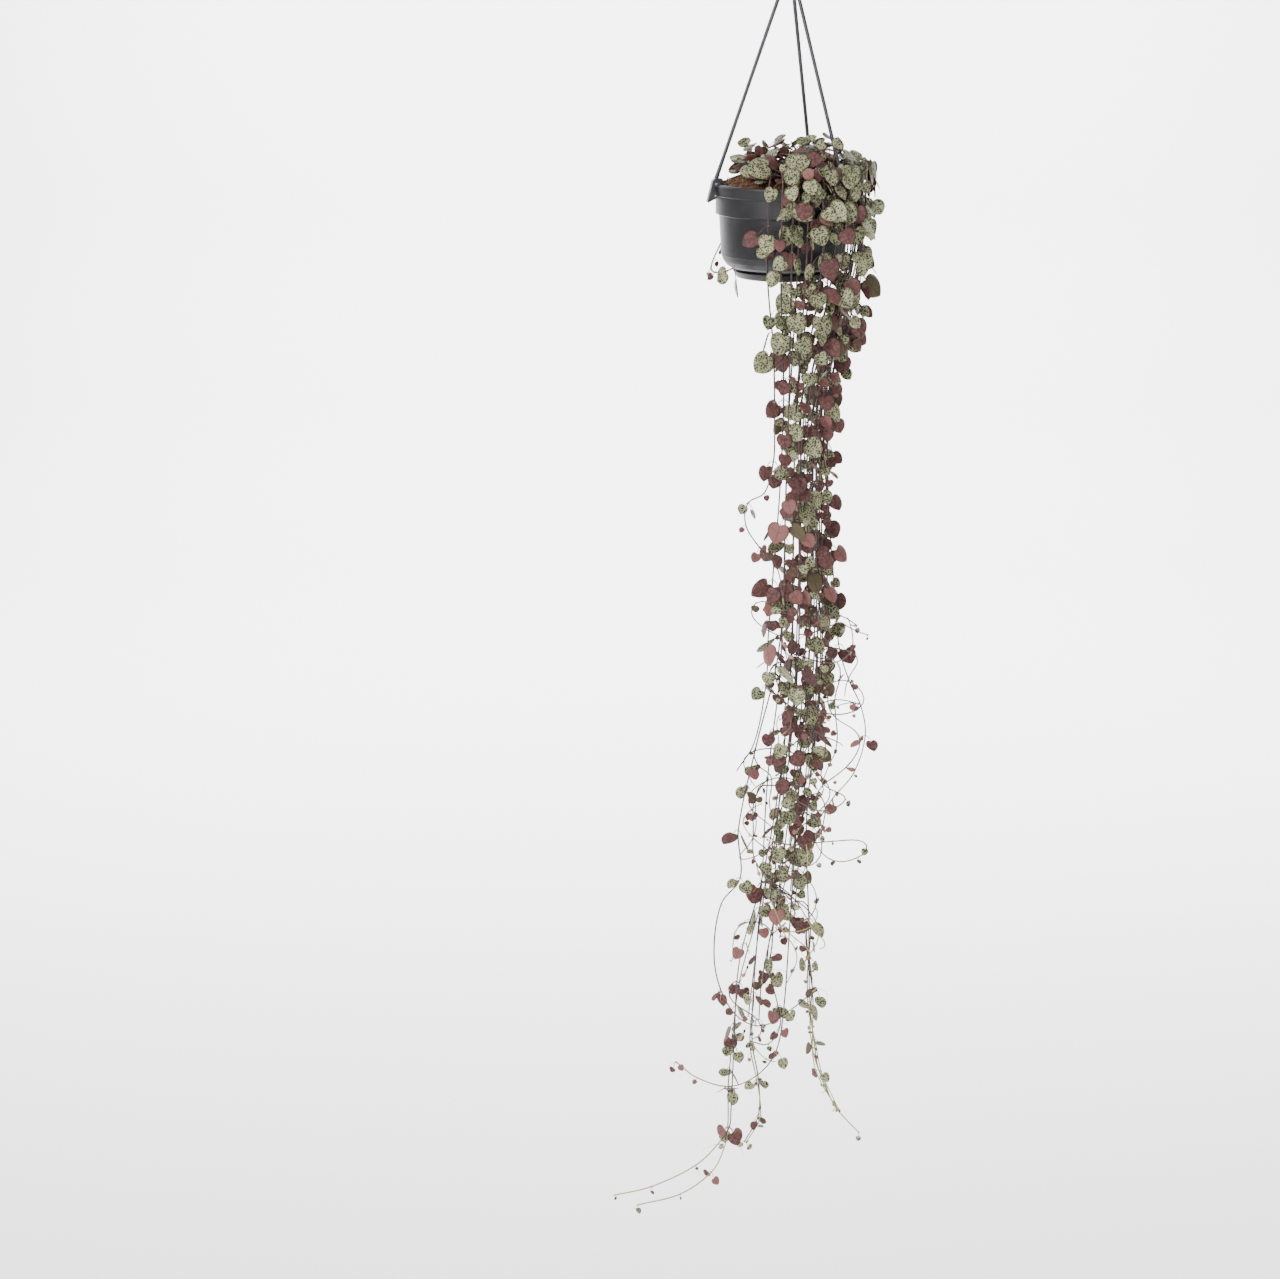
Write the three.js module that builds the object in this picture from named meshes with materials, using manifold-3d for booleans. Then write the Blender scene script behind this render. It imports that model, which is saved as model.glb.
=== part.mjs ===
// A string of hearts in a hanging nursery pot. Thin stems root in a mound of coir, arch over the rim and
// trail for more than a metre, with heart-shaped leaves in opposite pairs. The pot hangs by a moulded
// hanger: a hook, three arms and a clip on the end of each arm.
// Units are millimetres, +Z is up, and the origin is the hook's seat, which lies on the pot's axis.

import * as THREE from 'three';
import { mergeVertices } from 'three/addons/utils/BufferGeometryUtils.js';
import Module from 'manifold-3d';

const wasm = await Module();
wasm.setup();

const DEG = Math.PI / 180;
const DOWN = new THREE.Vector3(0, 0, -1);

// ---- Driving dimensions -------------------------------------------------------------------------------

const GAP = 0.3; // clearance between pieces that touch
const RIM_DROP = 244; // from the hook's seat down to the top of the rim

// Pot: heights are measured down from the top of the rim.
const RIM_RADIUS = 70.5;
const RIM_MOUTH = 66;
const RIM_BAND = 11;
const COLLAR_RADIUS = 68.4;
const COLLAR_DROP = 29;
const BODY_TOP_RADIUS = 64.6;
const BODY_FOOT_RADIUS = 61;
const BODY_FOOT_DROP = 71;
const BASE_RADIUS = 51.5;
const BASE_DROP = 81.7;
const FOOT_RADIUS = 45;
const FOOT_DROP = 88.9;
const POT_WALL = 1.8;
const DRAIN_COUNT = 6;
const DRAIN_RADIUS = 4;
const DRAIN_CIRCLE = 30;
const POT_SIDES = 24;

// Saucer, pressed on under the foot of the pot.
const SAUCER_RADIUS = 50;
const SAUCER_BASE_RADIUS = 46.8;
const SAUCER_TOP_DROP = 84.4;
const SAUCER_FLOOR = 1.8;
const SAUCER_WALL = 1.6;

// Coir mound.
const SOIL_CROWN = 10; // height of the mound's middle above the rim
const SOIL_EDGE = -4; // height where it meets the wall
const SOIL_SIDES = 16;
const HOLE_RADIUS = 1.9;
const HOLE_DEPTH = 13;

// Hanger.
const HOOK_INNER_RADIUS = 9;
const HOOK_BAR = 2.4;
const HUB_DROP = 47; // from the seat down to the top of the hub, where the hook's shank starts
const HUB_RADIUS = 7;
const HUB_HEIGHT = 9;
const ARM_RADIUS = 1.9;
const ARM_AZIMUTHS = [-170, -42, 63];
const ARM_TOP_RADIUS = 4;
const ARM_FOOT_RADIUS = 69.5;
const ARM_FOOT_RISE = 5;
const CLIP_WIDTH = 8;

// Stems and leaves.
const STEM_RADIUS = 0.9;
const TIP_RADIUS = 0.65;
const STEM_SIDES = 3;
const UPPER_SPACING = 27; // between the joints of a hanging stem, just below the rim
const UPPER_DEPTH = 130;
const MIDDLE_SPACING = 80; // the same, further down
const MIDDLE_DEPTH = 480;
const LOWER_SPACING = 110;
const LEAF_WIDTH = 21.5;
const BLADE_THICKNESS = 1.6;
const PETIOLE_LENGTH = 7.5;
const PETIOLE_RADIUS = 0.55;
const STEM_CLEARANCE = 2.6; // least distance between the centre lines of two stems
const BLADE_CLEARANCE = 0.35;
const TRIES = 30;
const FLOWER_DEPTH = 440; // flowers open only on the lower part of the stems
const FLOWER_CHANCE = 0.2;
const FLOWER_LENGTH = 15;
const PEDICEL_LENGTH = 7;
const FLOWER_RADIUS = 2.3; // of the swollen base

// Half of a leaf's outline, from the lobe beside the notch to the last point before the tip: sideways as a
// share of the width, then towards the tip as a share of the length. The petiole joins at the notch.
const HEART = [[0.27, -0.08], [0.5, 0.18], [0.37, 0.66]];
const NOTCH = 0.07;
const BLADE_MIDDLE = 0.42;

// Below the pot the stems draw together into a column, and spread again near their tips: [depth, how far
// they are drawn in, the column's middle, half its width].
const GATHER = [
  [0, 0, 27, 25], [50, 0, 27, 25], [230, 0.85, 27, 25],
  [500, 0.85, 34, 33], [680, 0.85, 22, 34], [860, 0.9, 14, 44],
];
const MIDDLE_AZIMUTH = -28; // the stem at this azimuth hangs in the column's middle
const AZIMUTH_REACH = 78; // and those this far to either side at its edges

// Tops of leaves in the crown face away from this point under the mound.
const CROWN_CENTRE = new THREE.Vector3(12, 14, -36);

// Hanging stems. azimuth says where the stem crosses the rim, seen from above, with 0 to the right and -90
// to the front. out is how far beyond the rim it hangs, drop how far below the rim it hangs straight, and
// rise how high it arches above the soil. stray moves it off its plumb line: [depth, sideways, back]. tail
// lists where it runs after that, from the pot's axis: [right, back, up], with the rim at height 0. leafy
// names the joints of the tail that bear leaves, where not all do, and tailWidth the width of those leaves.
// aim is the heading of the last leaf.
const HANGING = [
  { azimuth: -106, out: 7, drop: 262, rise: 11,
    stray: [[0, 0, 0], [125, -2, 0], [262, -8, -26]],
    tail: [[-20, -97, -290], [-36, -98, -300], [-38, -99, -322], [-24, -99, -345], [-6, -98, -366],
      [2, -96, -405]], leafy: [1, 3, 5], tailWidth: 11 },
  { azimuth: -96, out: 11, drop: 500, rise: 15,
    stray: [[0, 0, 0], [250, -4, 0], [500, -16, -6]],
    tail: [[-24, -90, -560], [-41, -91, -590]], leafy: [] },
  { azimuth: -89.5, out: 14, drop: 660, rise: 10,
    stray: [[0, 0, 0], [400, -4, -4], [660, -34, -10]],
    tail: [[-36, -98, -712], [-56, -100, -742], [-63, -101, -800], [-55, -101, -846], [-34, -100, -882],
      [-8, -99, -892], [24, -97, -872], [50, -92, -850]],
    leafy: [0, 3, 7], tailWidth: 15 },
  { azimuth: -84, out: 5, drop: 930, rise: 17,
    stray: [[0, 0, 0], [640, -8, -8], [930, -2, -22]],
    tail: [[-10, -80, -972], [-9, -82, -1018], [-24, -84, -1052]] },
  { azimuth: -79, out: 12, drop: 1010, rise: 12,
    stray: [[0, 0, 0], [620, 0, 0], [850, -24, 0], [1010, -28, -12]],
    tail: [[-42, -86, -1032], [-54, -88, -1052], [-80, -90, -1080], [-130, -92, -1107], [-172, -94, -1117]],
    leafy: [0] },
  { azimuth: -74, out: 6, drop: 850, rise: 18,
    stray: [[0, 0, 0], [600, 0, 2], [850, 10, 0]],
    tail: [[12, -52, -895], [15, -54, -920], [2, -56, -942], [-18, -57, -938]],
    leafy: [0, 1, 3] },
  { azimuth: -69, out: 13, drop: 905, rise: 14,
    stray: [[0, 0, 0], [500, 0, -4], [905, -16, 16]] },
  { azimuth: -64, out: 7, drop: 590, rise: 19, stray: [[0, 0, 0], [590, 0, 0]] },
  { azimuth: -59, out: 13, drop: 1000, rise: 16,
    stray: [[0, 0, 0], [650, -4, 8], [880, -34, 18], [1000, -42, 18]],
    tail: [[-42, -58, -1050], [-46, -58, -1080], [-60, -59, -1111], [-96, -61, -1140], [-146, -64, -1153]],
    leafy: [0, 2] },
  { azimuth: -54, out: 5, drop: 330, rise: 11, stray: [[0, 0, 0], [330, 2, 0]] },
  { azimuth: -49.5, out: 11, drop: 905, rise: 17,
    stray: [[0, 0, 0], [600, 0, 0], [905, -16, -6]] },
  { azimuth: -33, out: 4, drop: 700, rise: 10, stray: [[0, 0, 0], [700, 0, 4]] },
  { azimuth: -36, out: 9, drop: 905, rise: 15,
    stray: [[0, 0, 0], [600, 0, 0], [905, 6, 4]],
    tail: [[12, -46, -958], [-8, -47, -988], [-40, -48, -1003], [-78, -50, -990], [-102, -52, -968]],
    leafy: [0, 2, 4] },
  { azimuth: -30, out: 12, drop: 610, rise: 20, stray: [[0, 0, 0], [610, 4, -4]] },
  { azimuth: -25, out: 5, drop: 445, rise: 12, stray: [[0, 0, 0], [445, 4, 0]] },
  { azimuth: -20, out: 9, drop: 900, rise: 15,
    stray: [[0, 0, 0], [600, 4, -3], [900, 24, 0]],
    tail: [[56, -34, -950], [63, -34, -990], [84, -33, -1040], [113, -31, -1077]] },
  { azimuth: -15, out: 4, drop: 770, rise: 10, stray: [[0, 0, 0], [770, -4, 4]] },
  { azimuth: -10, out: 9, drop: 865, rise: 15,
    stray: [[0, 0, 0], [600, 4, 0], [865, -28, 8]] },
  { azimuth: -5, out: 4, drop: 205, rise: 18, stray: [[0, 0, 0], [205, 10, -4]] },
  { azimuth: 0, out: 9, drop: 480, rise: 12,
    stray: [[0, 0, 0], [300, 4, 4], [480, 20, 16]],
    tail: [[82, -4, -520], [97, -5, -552], [103, -6, -586], [92, -7, -630], [70, -8, -660], [50, -8, -696]],
    leafy: [2, 4, 5], tailWidth: 14 },
  { azimuth: 6, out: 4, drop: 820, rise: 17, stray: [[0, 0, 0], [820, -6, 2]] },
  { azimuth: 13, out: 9, drop: 345, rise: 10, stray: [[0, 0, 0], [345, 6, 2]] },
  { azimuth: 22, out: 4, drop: 730, rise: 15, stray: [[0, 0, 0], [730, -4, 2]] },
  { azimuth: 33, out: 8, drop: 460, rise: 18, stray: [[0, 0, 0], [460, 0, 2]] },
  { azimuth: 50, out: 6, drop: 300, rise: 14, stray: [[0, 0, 0], [300, 0, 2]] },
  { azimuth: 118, out: 5, drop: 30, rise: 11, stray: [[0, 0, 0], [30, -8, 0]],
    tail: [[-62, 40, -66], [-68, 26, -76], [-71, 12, -82], [-71, -2, -85], [-68, -16, -85],
      [-61, -29, -83], [-51, -39, -78]],
    leafy: [6], aim: -8, tailWidth: 20 },
];

// Short shoots that stay above the pot: where each leaves the soil, and its tip.
const SHOOTS = [
  { root: [-24, -8], tip: [-38, -28, 22] },
  { root: [-18, 10], tip: [-24, -6, 32] },
  { root: [-26, -28], tip: [-22, -58, 9] },
  { root: [-6, -26], tip: [-6, -62, 11] },
  { root: [8, 12], tip: [2, -22, 30] },
  { root: [16, -26], tip: [14, -60, 15] },
  { root: [30, 10], tip: [26, -14, 29] },
  { root: [38, 2], tip: [42, -38, 27] },
  { root: [18, 30], tip: [14, 46, 23] },
  { root: [46, -10], tip: [56, -20, 24] },
  { root: [-8, 34], tip: [-22, 46, 21] },
  { root: [42, 26], tip: [62, 14, 16] },
  { root: [20, 10], tip: [20, 18, 29] },
];

// ---- Solids and meshes --------------------------------------------------------------------------------

function solid(geometry) {
  geometry.deleteAttribute('normal');
  geometry.deleteAttribute('uv');
  const merged = mergeVertices(geometry, 1e-4);
  const corners = merged.index.array;
  const faces = [];
  for (let i = 0; i < corners.length; i += 3) {
    const [a, b, c] = [corners[i], corners[i + 1], corners[i + 2]];
    if (a !== b && b !== c && c !== a) faces.push(a, b, c);
  }
  return new wasm.Manifold(new wasm.Mesh({
    numProp: 3,
    vertProperties: Float32Array.from(merged.attributes.position.array),
    triVerts: Uint32Array.from(faces),
  }));
}

function piece(name, body, color, roughness) {
  const result = body.getMesh();
  const geometry = new THREE.BufferGeometry();
  geometry.setAttribute('position', new THREE.BufferAttribute(result.vertProperties, 3));
  geometry.setIndex(new THREE.BufferAttribute(result.triVerts, 1));
  geometry.computeVertexNormals();
  const material = new THREE.MeshStandardMaterial({ color, roughness, metalness: 0 });
  const mesh = new THREE.Mesh(geometry, material);
  mesh.name = name;
  return mesh;
}

function fromFaces(points, faces) {
  const geometry = new THREE.BufferGeometry();
  const numbers = points.flatMap((point) => point.toArray());
  geometry.setAttribute('position', new THREE.Float32BufferAttribute(numbers, 3));
  geometry.setIndex(faces.flat());
  return solid(geometry);
}

function lathe(profile, sides) {
  const geometry = new THREE.LatheGeometry(profile.map(([r, z]) => new THREE.Vector2(r, z)), sides);
  geometry.rotateX(Math.PI / 2);
  return solid(geometry);
}

function polar(azimuth, radius, height) {
  const angle = azimuth * DEG;
  return new THREE.Vector3(radius * Math.cos(angle), radius * Math.sin(angle), height);
}

function mix(a, b, share) {
  return a + (b - a) * share;
}

// ---- Pot ----------------------------------------------------------------------------------------------

// The wall is one thickness from the foot to the rolled rim, so the inside follows the outside.
const potOutside = [
  [0, -BASE_DROP - 0.6], [FOOT_RADIUS - 2.4, -BASE_DROP - 0.6], [FOOT_RADIUS - 2.2, -FOOT_DROP],
  [FOOT_RADIUS, -FOOT_DROP], [FOOT_RADIUS + 0.6, -BASE_DROP - 0.4], [BASE_RADIUS, -BASE_DROP],
  [BASE_RADIUS + 4.5, -BASE_DROP + 2.6], [BODY_FOOT_RADIUS - 1.4, -BODY_FOOT_DROP - 3.4],
  [BODY_FOOT_RADIUS, -BODY_FOOT_DROP], [BODY_TOP_RADIUS, -COLLAR_DROP - 1.2],
  [COLLAR_RADIUS - 0.3, -COLLAR_DROP], [COLLAR_RADIUS, -RIM_BAND - 0.4],
  [RIM_RADIUS - 0.2, -RIM_BAND], [RIM_RADIUS, -2], [RIM_RADIUS - 1, -0.4], [RIM_RADIUS - 2.6, 0],
];
const potInside = [
  [RIM_MOUTH + 0.4, -0.6], [RIM_MOUTH, -3], [COLLAR_RADIUS - POT_WALL - 1, -COLLAR_DROP + 2],
  [BODY_TOP_RADIUS - POT_WALL, -COLLAR_DROP - 2], [BODY_FOOT_RADIUS - POT_WALL, -BODY_FOOT_DROP],
  [BASE_RADIUS, -BASE_DROP + POT_WALL + 1], [0, -BASE_DROP + POT_WALL],
];

let potBody = lathe([...potOutside, ...potInside], POT_SIDES);
for (let i = 0; i < DRAIN_COUNT; i += 1) {
  const drill = new THREE.CylinderGeometry(DRAIN_RADIUS, DRAIN_RADIUS, 12, 8);
  drill.rotateX(Math.PI / 2);
  const place = polar((360 / DRAIN_COUNT) * i, DRAIN_CIRCLE, -BASE_DROP);
  drill.translate(place.x, place.y, place.z);
  potBody = potBody.subtract(solid(drill));
}

// ---- Saucer -------------------------------------------------------------------------------------------

const saucerFloor = -FOOT_DROP - GAP;
const saucerBody = lathe([
  [0, saucerFloor - SAUCER_FLOOR], [SAUCER_BASE_RADIUS - 1, saucerFloor - SAUCER_FLOOR],
  [SAUCER_BASE_RADIUS, saucerFloor - SAUCER_FLOOR + 1], [SAUCER_RADIUS, -SAUCER_TOP_DROP],
  [SAUCER_RADIUS - SAUCER_WALL, -SAUCER_TOP_DROP], [SAUCER_BASE_RADIUS - SAUCER_WALL, saucerFloor],
  [0, saucerFloor],
], POT_SIDES);

// ---- Hanger -------------------------------------------------------------------------------------------

const hubTop = RIM_DROP - HUB_DROP;
const armTop = hubTop - HUB_HEIGHT * 0.6;

function bar(path, radius, sides, steps) {
  const section = new THREE.Shape();
  for (let i = 0; i < sides; i += 1) {
    const angle = (2 * Math.PI * i) / sides;
    const [x, y] = [radius * Math.cos(angle), radius * Math.sin(angle)];
    if (i === 0) section.moveTo(x, y);
    else section.lineTo(x, y);
  }
  section.closePath();
  return solid(new THREE.ExtrudeGeometry(section, { steps, extrudePath: path, bevelEnabled: false }));
}

// The hook is an open question mark over the pot's axis, with its mouth to the left.
function hook() {
  const bend = HOOK_INNER_RADIUS + HOOK_BAR;
  const middle = RIM_DROP - HOOK_INNER_RADIUS;
  const points = [[0, -3], [0.3, 6], [1.4, 15]].map(([x, rise]) => new THREE.Vector3(x, 0, hubTop + rise));
  for (let angle = -42; angle <= 196; angle += 34) {
    points.push(new THREE.Vector3(bend * Math.cos(angle * DEG), 0, middle + bend * Math.sin(angle * DEG)));
  }
  points.push(new THREE.Vector3(-bend - 2.2, 0, middle - 8.5));
  return bar(new THREE.CatmullRomCurve3(points), HOOK_BAR, 6, 20);
}

// Each clip straddles the rim: a finger inside, a bridge over the lip, and a slanted tab outside with a
// barb that catches under the band.
function clip(azimuth) {
  const inside = RIM_MOUTH * Math.cos(Math.PI / POT_SIDES) - GAP;
  const outside = RIM_RADIUS + GAP;
  const profile = new THREE.Shape([
    [inside - 2.2, -2.6], [inside, -2.6], [inside, GAP + 0.4], [outside, GAP + 0.4],
    [outside, -RIM_BAND - GAP], [COLLAR_RADIUS + 0.6, -RIM_BAND - GAP - 0.4],
    [COLLAR_RADIUS + 0.8, -RIM_BAND - 2.6], [outside + 3, -RIM_BAND - 4.6],
    [outside + 6.8, -RIM_BAND - 6.6], [outside + 7.6, -RIM_BAND - 5.6],
    [outside + 4.2, -3], [outside + 2.6, 3.6], [outside, 5.4], [inside - 0.8, 5.4], [inside - 2.2, 3.6],
  ].map(([x, y]) => new THREE.Vector2(x, y)));
  const geometry = new THREE.ExtrudeGeometry(profile, { depth: CLIP_WIDTH, bevelEnabled: false });
  geometry.translate(0, 0, -CLIP_WIDTH / 2);
  geometry.rotateX(Math.PI / 2);
  geometry.rotateZ(azimuth * DEG);
  return solid(geometry);
}

function arm(azimuth) {
  const path = new THREE.LineCurve3(
    polar(azimuth, ARM_TOP_RADIUS, armTop),
    polar(azimuth, ARM_FOOT_RADIUS, ARM_FOOT_RISE - 1),
  );
  return bar(path, ARM_RADIUS, 6, 1);
}

function hanger() {
  const hub = lathe([
    [0, hubTop - HUB_HEIGHT], [HUB_RADIUS - 1, hubTop - HUB_HEIGHT], [HUB_RADIUS, hubTop - HUB_HEIGHT + 2],
    [HUB_RADIUS - 1, hubTop - 3], [HOOK_BAR + 1, hubTop], [0, hubTop],
  ], 12);
  let body = hub.add(hook());
  for (const azimuth of ARM_AZIMUTHS) body = body.add(arm(azimuth)).add(clip(azimuth));
  return body;
}

// ---- Soil surface -------------------------------------------------------------------------------------

function soilHeight(radius) {
  const share = Math.min(radius / (RIM_MOUTH - 1), 1);
  return mix(SOIL_CROWN, SOIL_EDGE, share ** 4);
}

// ---- Boxes that keep stems and leaves clear of each other ---------------------------------------------

// A box has a centre, three unit axes and half its size along each. reach is its half diagonal.
function box(centre, axes, half) {
  return { centre, axes, half, reach: Math.hypot(...half) };
}

function barBox(a, b, radius) {
  const along = b.clone().sub(a);
  const length = along.length();
  along.divideScalar(length);
  const across = new THREE.Vector3(0, 0, 1);
  if (Math.abs(along.z) > 0.9) across.set(1, 0, 0);
  across.cross(along).normalize();
  const third = along.clone().cross(across);
  return box(a.clone().add(b).multiplyScalar(0.5), [along, across, third], [length / 2, radius, radius]);
}

// Two boxes are apart where some axis separates them: one of their six face normals, or the cross product
// of two edges.
function apart(a, b) {
  const between = b.centre.clone().sub(a.centre);
  if (between.length() > a.reach + b.reach) return true;
  const axes = [...a.axes, ...b.axes];
  for (const u of a.axes) {
    for (const v of b.axes) {
      const edge = u.clone().cross(v);
      if (edge.length() > 1e-3) axes.push(edge.normalize());
    }
  }
  return axes.some((axis) => {
    let room = 0;
    for (let i = 0; i < 3; i += 1) {
      room += a.half[i] * Math.abs(axis.dot(a.axes[i])) + b.half[i] * Math.abs(axis.dot(b.axes[i]));
    }
    return Math.abs(axis.dot(between)) > room;
  });
}

// Leaves also stay off the pot, the saucer, the soil and the rim.
function outerRadius(z) {
  if (z > 3.5 || z < -FOOT_DROP - 5) return 0;
  if (z > -COLLAR_DROP - 3) return RIM_RADIUS + 1.2;
  if (z > -BODY_FOOT_DROP - 2) return BODY_TOP_RADIUS + 1.2;
  return z > -BASE_DROP - 1 ? BODY_FOOT_RADIUS : SAUCER_RADIUS + 1.5;
}

function clearOfPot(blade) {
  for (const i of [-1, 0, 1]) {
    for (const j of [-1, 0, 1]) {
      const point = blade.centre.clone();
      point.addScaledVector(blade.axes[0], i * blade.half[0]);
      point.addScaledVector(blade.axes[1], j * blade.half[1]);
      const radius = Math.hypot(point.x, point.y);
      if (radius < outerRadius(point.z)) return false;
      if (radius <= RIM_MOUTH && point.z > 3.5 && point.z < soilHeight(radius) + 2.2) return false;
    }
  }
  return true;
}

// ---- How the stems run --------------------------------------------------------------------------------

function draws(seed) {
  let state = seed >>> 0;
  return () => {
    state = (Math.imul(state, 1664525) + 1013904223) >>> 0;
    return state / 4294967296;
  };
}

// Reads a list of [depth, value, value...] at a depth, easing from each entry to the next.
function valuesAt(list, depth) {
  let i = 1;
  while (i < list.length - 1 && list[i][0] < depth) i += 1;
  const [from, to] = [list[i - 1], list[i]];
  const share = Math.min(Math.max((depth - from[0]) / (to[0] - from[0]), 0), 1);
  const eased = share * share * (3 - 2 * share);
  return from.slice(1).map((value, k) => mix(value, to[k + 1], eased));
}

// Joints are close together where the stem has just left the pot.
function jointDepths(drop, draw) {
  const depths = [];
  let depth = UPPER_SPACING * mix(0.7, 1.3, draw());
  while (depth < drop - 12) {
    depths.push(depth);
    let spacing = LOWER_SPACING;
    if (depth < MIDDLE_DEPTH) spacing = MIDDLE_SPACING;
    if (depth < UPPER_DEPTH) spacing = UPPER_SPACING;
    depth += spacing * mix(0.75, 1.25, draw());
  }
  return [...depths, drop];
}

function hangingPath(vine, draw) {
  const { azimuth, out, drop, rise, stray, tail } = vine;
  const turn = mix(-9, 9, draw());
  const root = mix(22, 50, draw());
  const swing = mix(0.5, 1.8, draw());
  const phase = [draw() * 6.283, draw() * 6.283];
  const path = [
    polar(azimuth + turn, root, soilHeight(root) - HOLE_DEPTH + 3),
    polar(azimuth + turn, root, soilHeight(root) + 3),
    polar(azimuth + turn * 0.6, mix(root, RIM_MOUTH, 0.4), rise),
    polar(azimuth + turn * 0.2, mix(root, RIM_MOUTH, 0.8), rise * 0.7 + 4),
    polar(azimuth, RIM_RADIUS + 1.6, 4 + rise * 0.15),
    polar(azimuth, RIM_RADIUS + out, -10),
  ];
  for (const depth of jointDepths(drop, draw)) {
    const [sideways, back] = valuesAt(stray, depth);
    const [pull, middle, half] = valuesAt(GATHER, depth);
    const point = polar(azimuth, RIM_RADIUS + out, -depth);
    const columnX = middle + (half * (azimuth - MIDDLE_AZIMUTH)) / AZIMUTH_REACH;
    const columnY = point.y * 0.45 - 22 - 3 * (out - 8);
    point.x = mix(point.x, columnX, pull) + sideways + swing * Math.sin(depth / 61 + phase[0]);
    point.y = mix(point.y, columnY, pull) + back + swing * Math.sin(depth / 83 + phase[1]);
    path.push(point);
  }
  for (const [x, y, z] of tail ?? []) path.push(new THREE.Vector3(x, y, z));
  return path;
}

function shootPath(shoot) {
  const { root, tip } = shoot;
  const ground = soilHeight(Math.hypot(...root));
  const along = (share, height) => new THREE.Vector3(
    mix(root[0], tip[0], share),
    mix(root[1], tip[1], share),
    mix(ground, tip[2], height),
  );
  return [
    new THREE.Vector3(root[0], root[1], ground - HOLE_DEPTH + 3),
    new THREE.Vector3(root[0], root[1], ground + 1.5),
    along(0.2, 0.42),
    along(0.45, 0.76),
    along(0.75, 0.96),
    along(1, 1),
  ];
}

// A stem's direction at one of its joints.
function directionAt(path, index) {
  const last = path.length - 1;
  return path[Math.min(index + 1, last)].clone().sub(path[Math.max(index - 1, 0)]).normalize();
}

function stemBoxes(path, radius) {
  return path.slice(1).map((point, i) => barBox(path[i], point, radius));
}

// ---- Leaves -------------------------------------------------------------------------------------------

// A leaf's frame: side runs across the blade, along from the notch to the tip, and face out of the top.
function leafFrame(joint, out, sag, along, facing, width, petiole) {
  const face = facing.clone().addScaledVector(along, -facing.dot(along)).normalize();
  const side = along.clone().cross(face);
  const notch = joint.clone().addScaledVector(out, petiole * Math.cos(sag));
  notch.addScaledVector(DOWN, petiole * Math.sin(sag));
  return { joint, out, notch, side, along, face, width, length: width * 0.92 };
}

// Above the pot the blades lie over each other like shingles on the mound.
function crownLeaf(joint, stem, angle, width, reach, draw) {
  const out = polar(angle, 1, 0);
  out.addScaledVector(stem, -out.dot(stem)).normalize();
  const facing = joint.clone().sub(CROWN_CENTRE).normalize();
  facing.addScaledVector(polar(360 * draw(), 1, 0), 0.75 * draw()).normalize();
  if (draw() < 0.3) facing.negate();
  const along = out.clone().addScaledVector(DOWN, mix(-0.3, 0.8, draw()));
  along.addScaledVector(facing, -along.dot(facing)).normalize();
  const petiole = reach * mix(0.9, 1.6, draw());
  return leafFrame(joint, out, -0.25, along, facing, width, petiole);
}

// Below the rim they hang from sagging petioles. Most tops near the pot face outwards, and further down
// they face the front or the back.
function hangingLeaf(joint, stem, angle, width, reach, draw) {
  const out = polar(angle, 1, 0);
  out.addScaledVector(stem, -out.dot(stem)).normalize();
  const lean = mix(8, 55, draw()) * DEG;
  const leaning = polar(angle + mix(-40, 40, draw()), 1, 0);
  const along = leaning.multiplyScalar(Math.sin(lean)).addScaledVector(DOWN, Math.cos(lean));
  const upper = -joint.z < UPPER_DEPTH;
  const outwards = upper ? Math.atan2(joint.y, joint.x) / DEG : -90;
  const spread = draw() < 0.7 ? 42 : 180;
  const turned = draw() < (upper ? 0.75 : 0.42) ? 0 : 180;
  const facing = polar(outwards + turned + mix(-spread, spread, draw()), 1, 0);
  const petiole = reach * mix(0.75, 1.2, draw());
  return leafFrame(joint, out, 0.7, along, facing, width, petiole);
}

// A stalk's box, without the share next to the stem.
function stalkBox(joint, end, share) {
  return barBox(joint.clone().lerp(end, share), end, PETIOLE_RADIUS + BLADE_CLEARANCE);
}

function leafBoxes(leaf) {
  const centre = leaf.notch.clone().addScaledVector(leaf.along, leaf.length * 0.46);
  const half = [leaf.width / 2, leaf.length * 0.54, BLADE_THICKNESS / 2 + BLADE_CLEARANCE];
  return [
    box(centre, [leaf.side, leaf.along, leaf.face], half),
    stalkBox(leaf.joint, leaf.notch, 0.15),
    stalkBox(leaf.joint, leaf.notch, 0.6),
  ];
}

// A flower stands out and up at the end of a short stalk, on the side of the stem away from the leaves.
function flowerFrame(index, joint, stem, outs) {
  const leafSide = outs.reduce((sum, out) => sum.add(out), new THREE.Vector3());
  if (leafSide.length() < 0.5) leafSide.copy(stem).cross(outs[0]);
  const out = leafSide.negate().normalize();
  const along = out.clone().addScaledVector(DOWN, -1.1).normalize();
  const foot = joint.clone().addScaledVector(along, PEDICEL_LENGTH);
  return { index, joint, out, foot, along };
}

function flowerBoxes(flower) {
  const tip = flower.foot.clone().addScaledVector(flower.along, FLOWER_LENGTH);
  return [
    barBox(flower.foot, tip, FLOWER_RADIUS + BLADE_CLEARANCE),
    stalkBox(flower.joint, flower.foot, 0.3),
    stalkBox(flower.joint, flower.foot, 0.8),
  ];
}

// Above the rim and just below it nearly every joint bears leaves, and further down two in three.
function bearsLeaves(vine, index, draw) {
  const chance = draw();
  const joint = vine.path[index];
  if (vine.kind === 'shoot') return index > 1;
  const { azimuth, tail, leafy } = vine.plan;
  const tailJoint = index - vine.path.length + (tail ?? []).length;
  if (tailJoint >= 0) return leafy ? leafy.includes(tailJoint) : chance < 0.8;
  const overRim = Math.abs(azimuth + 54) < 48;
  if (index < 3) return chance < 0.2;
  if (index < 5) return chance < (overRim ? 0.85 : 0.15);
  if (-joint.z < UPPER_DEPTH) return chance < (overRim ? 0.72 : 0.2);
  return chance < 0.64;
}

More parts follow.
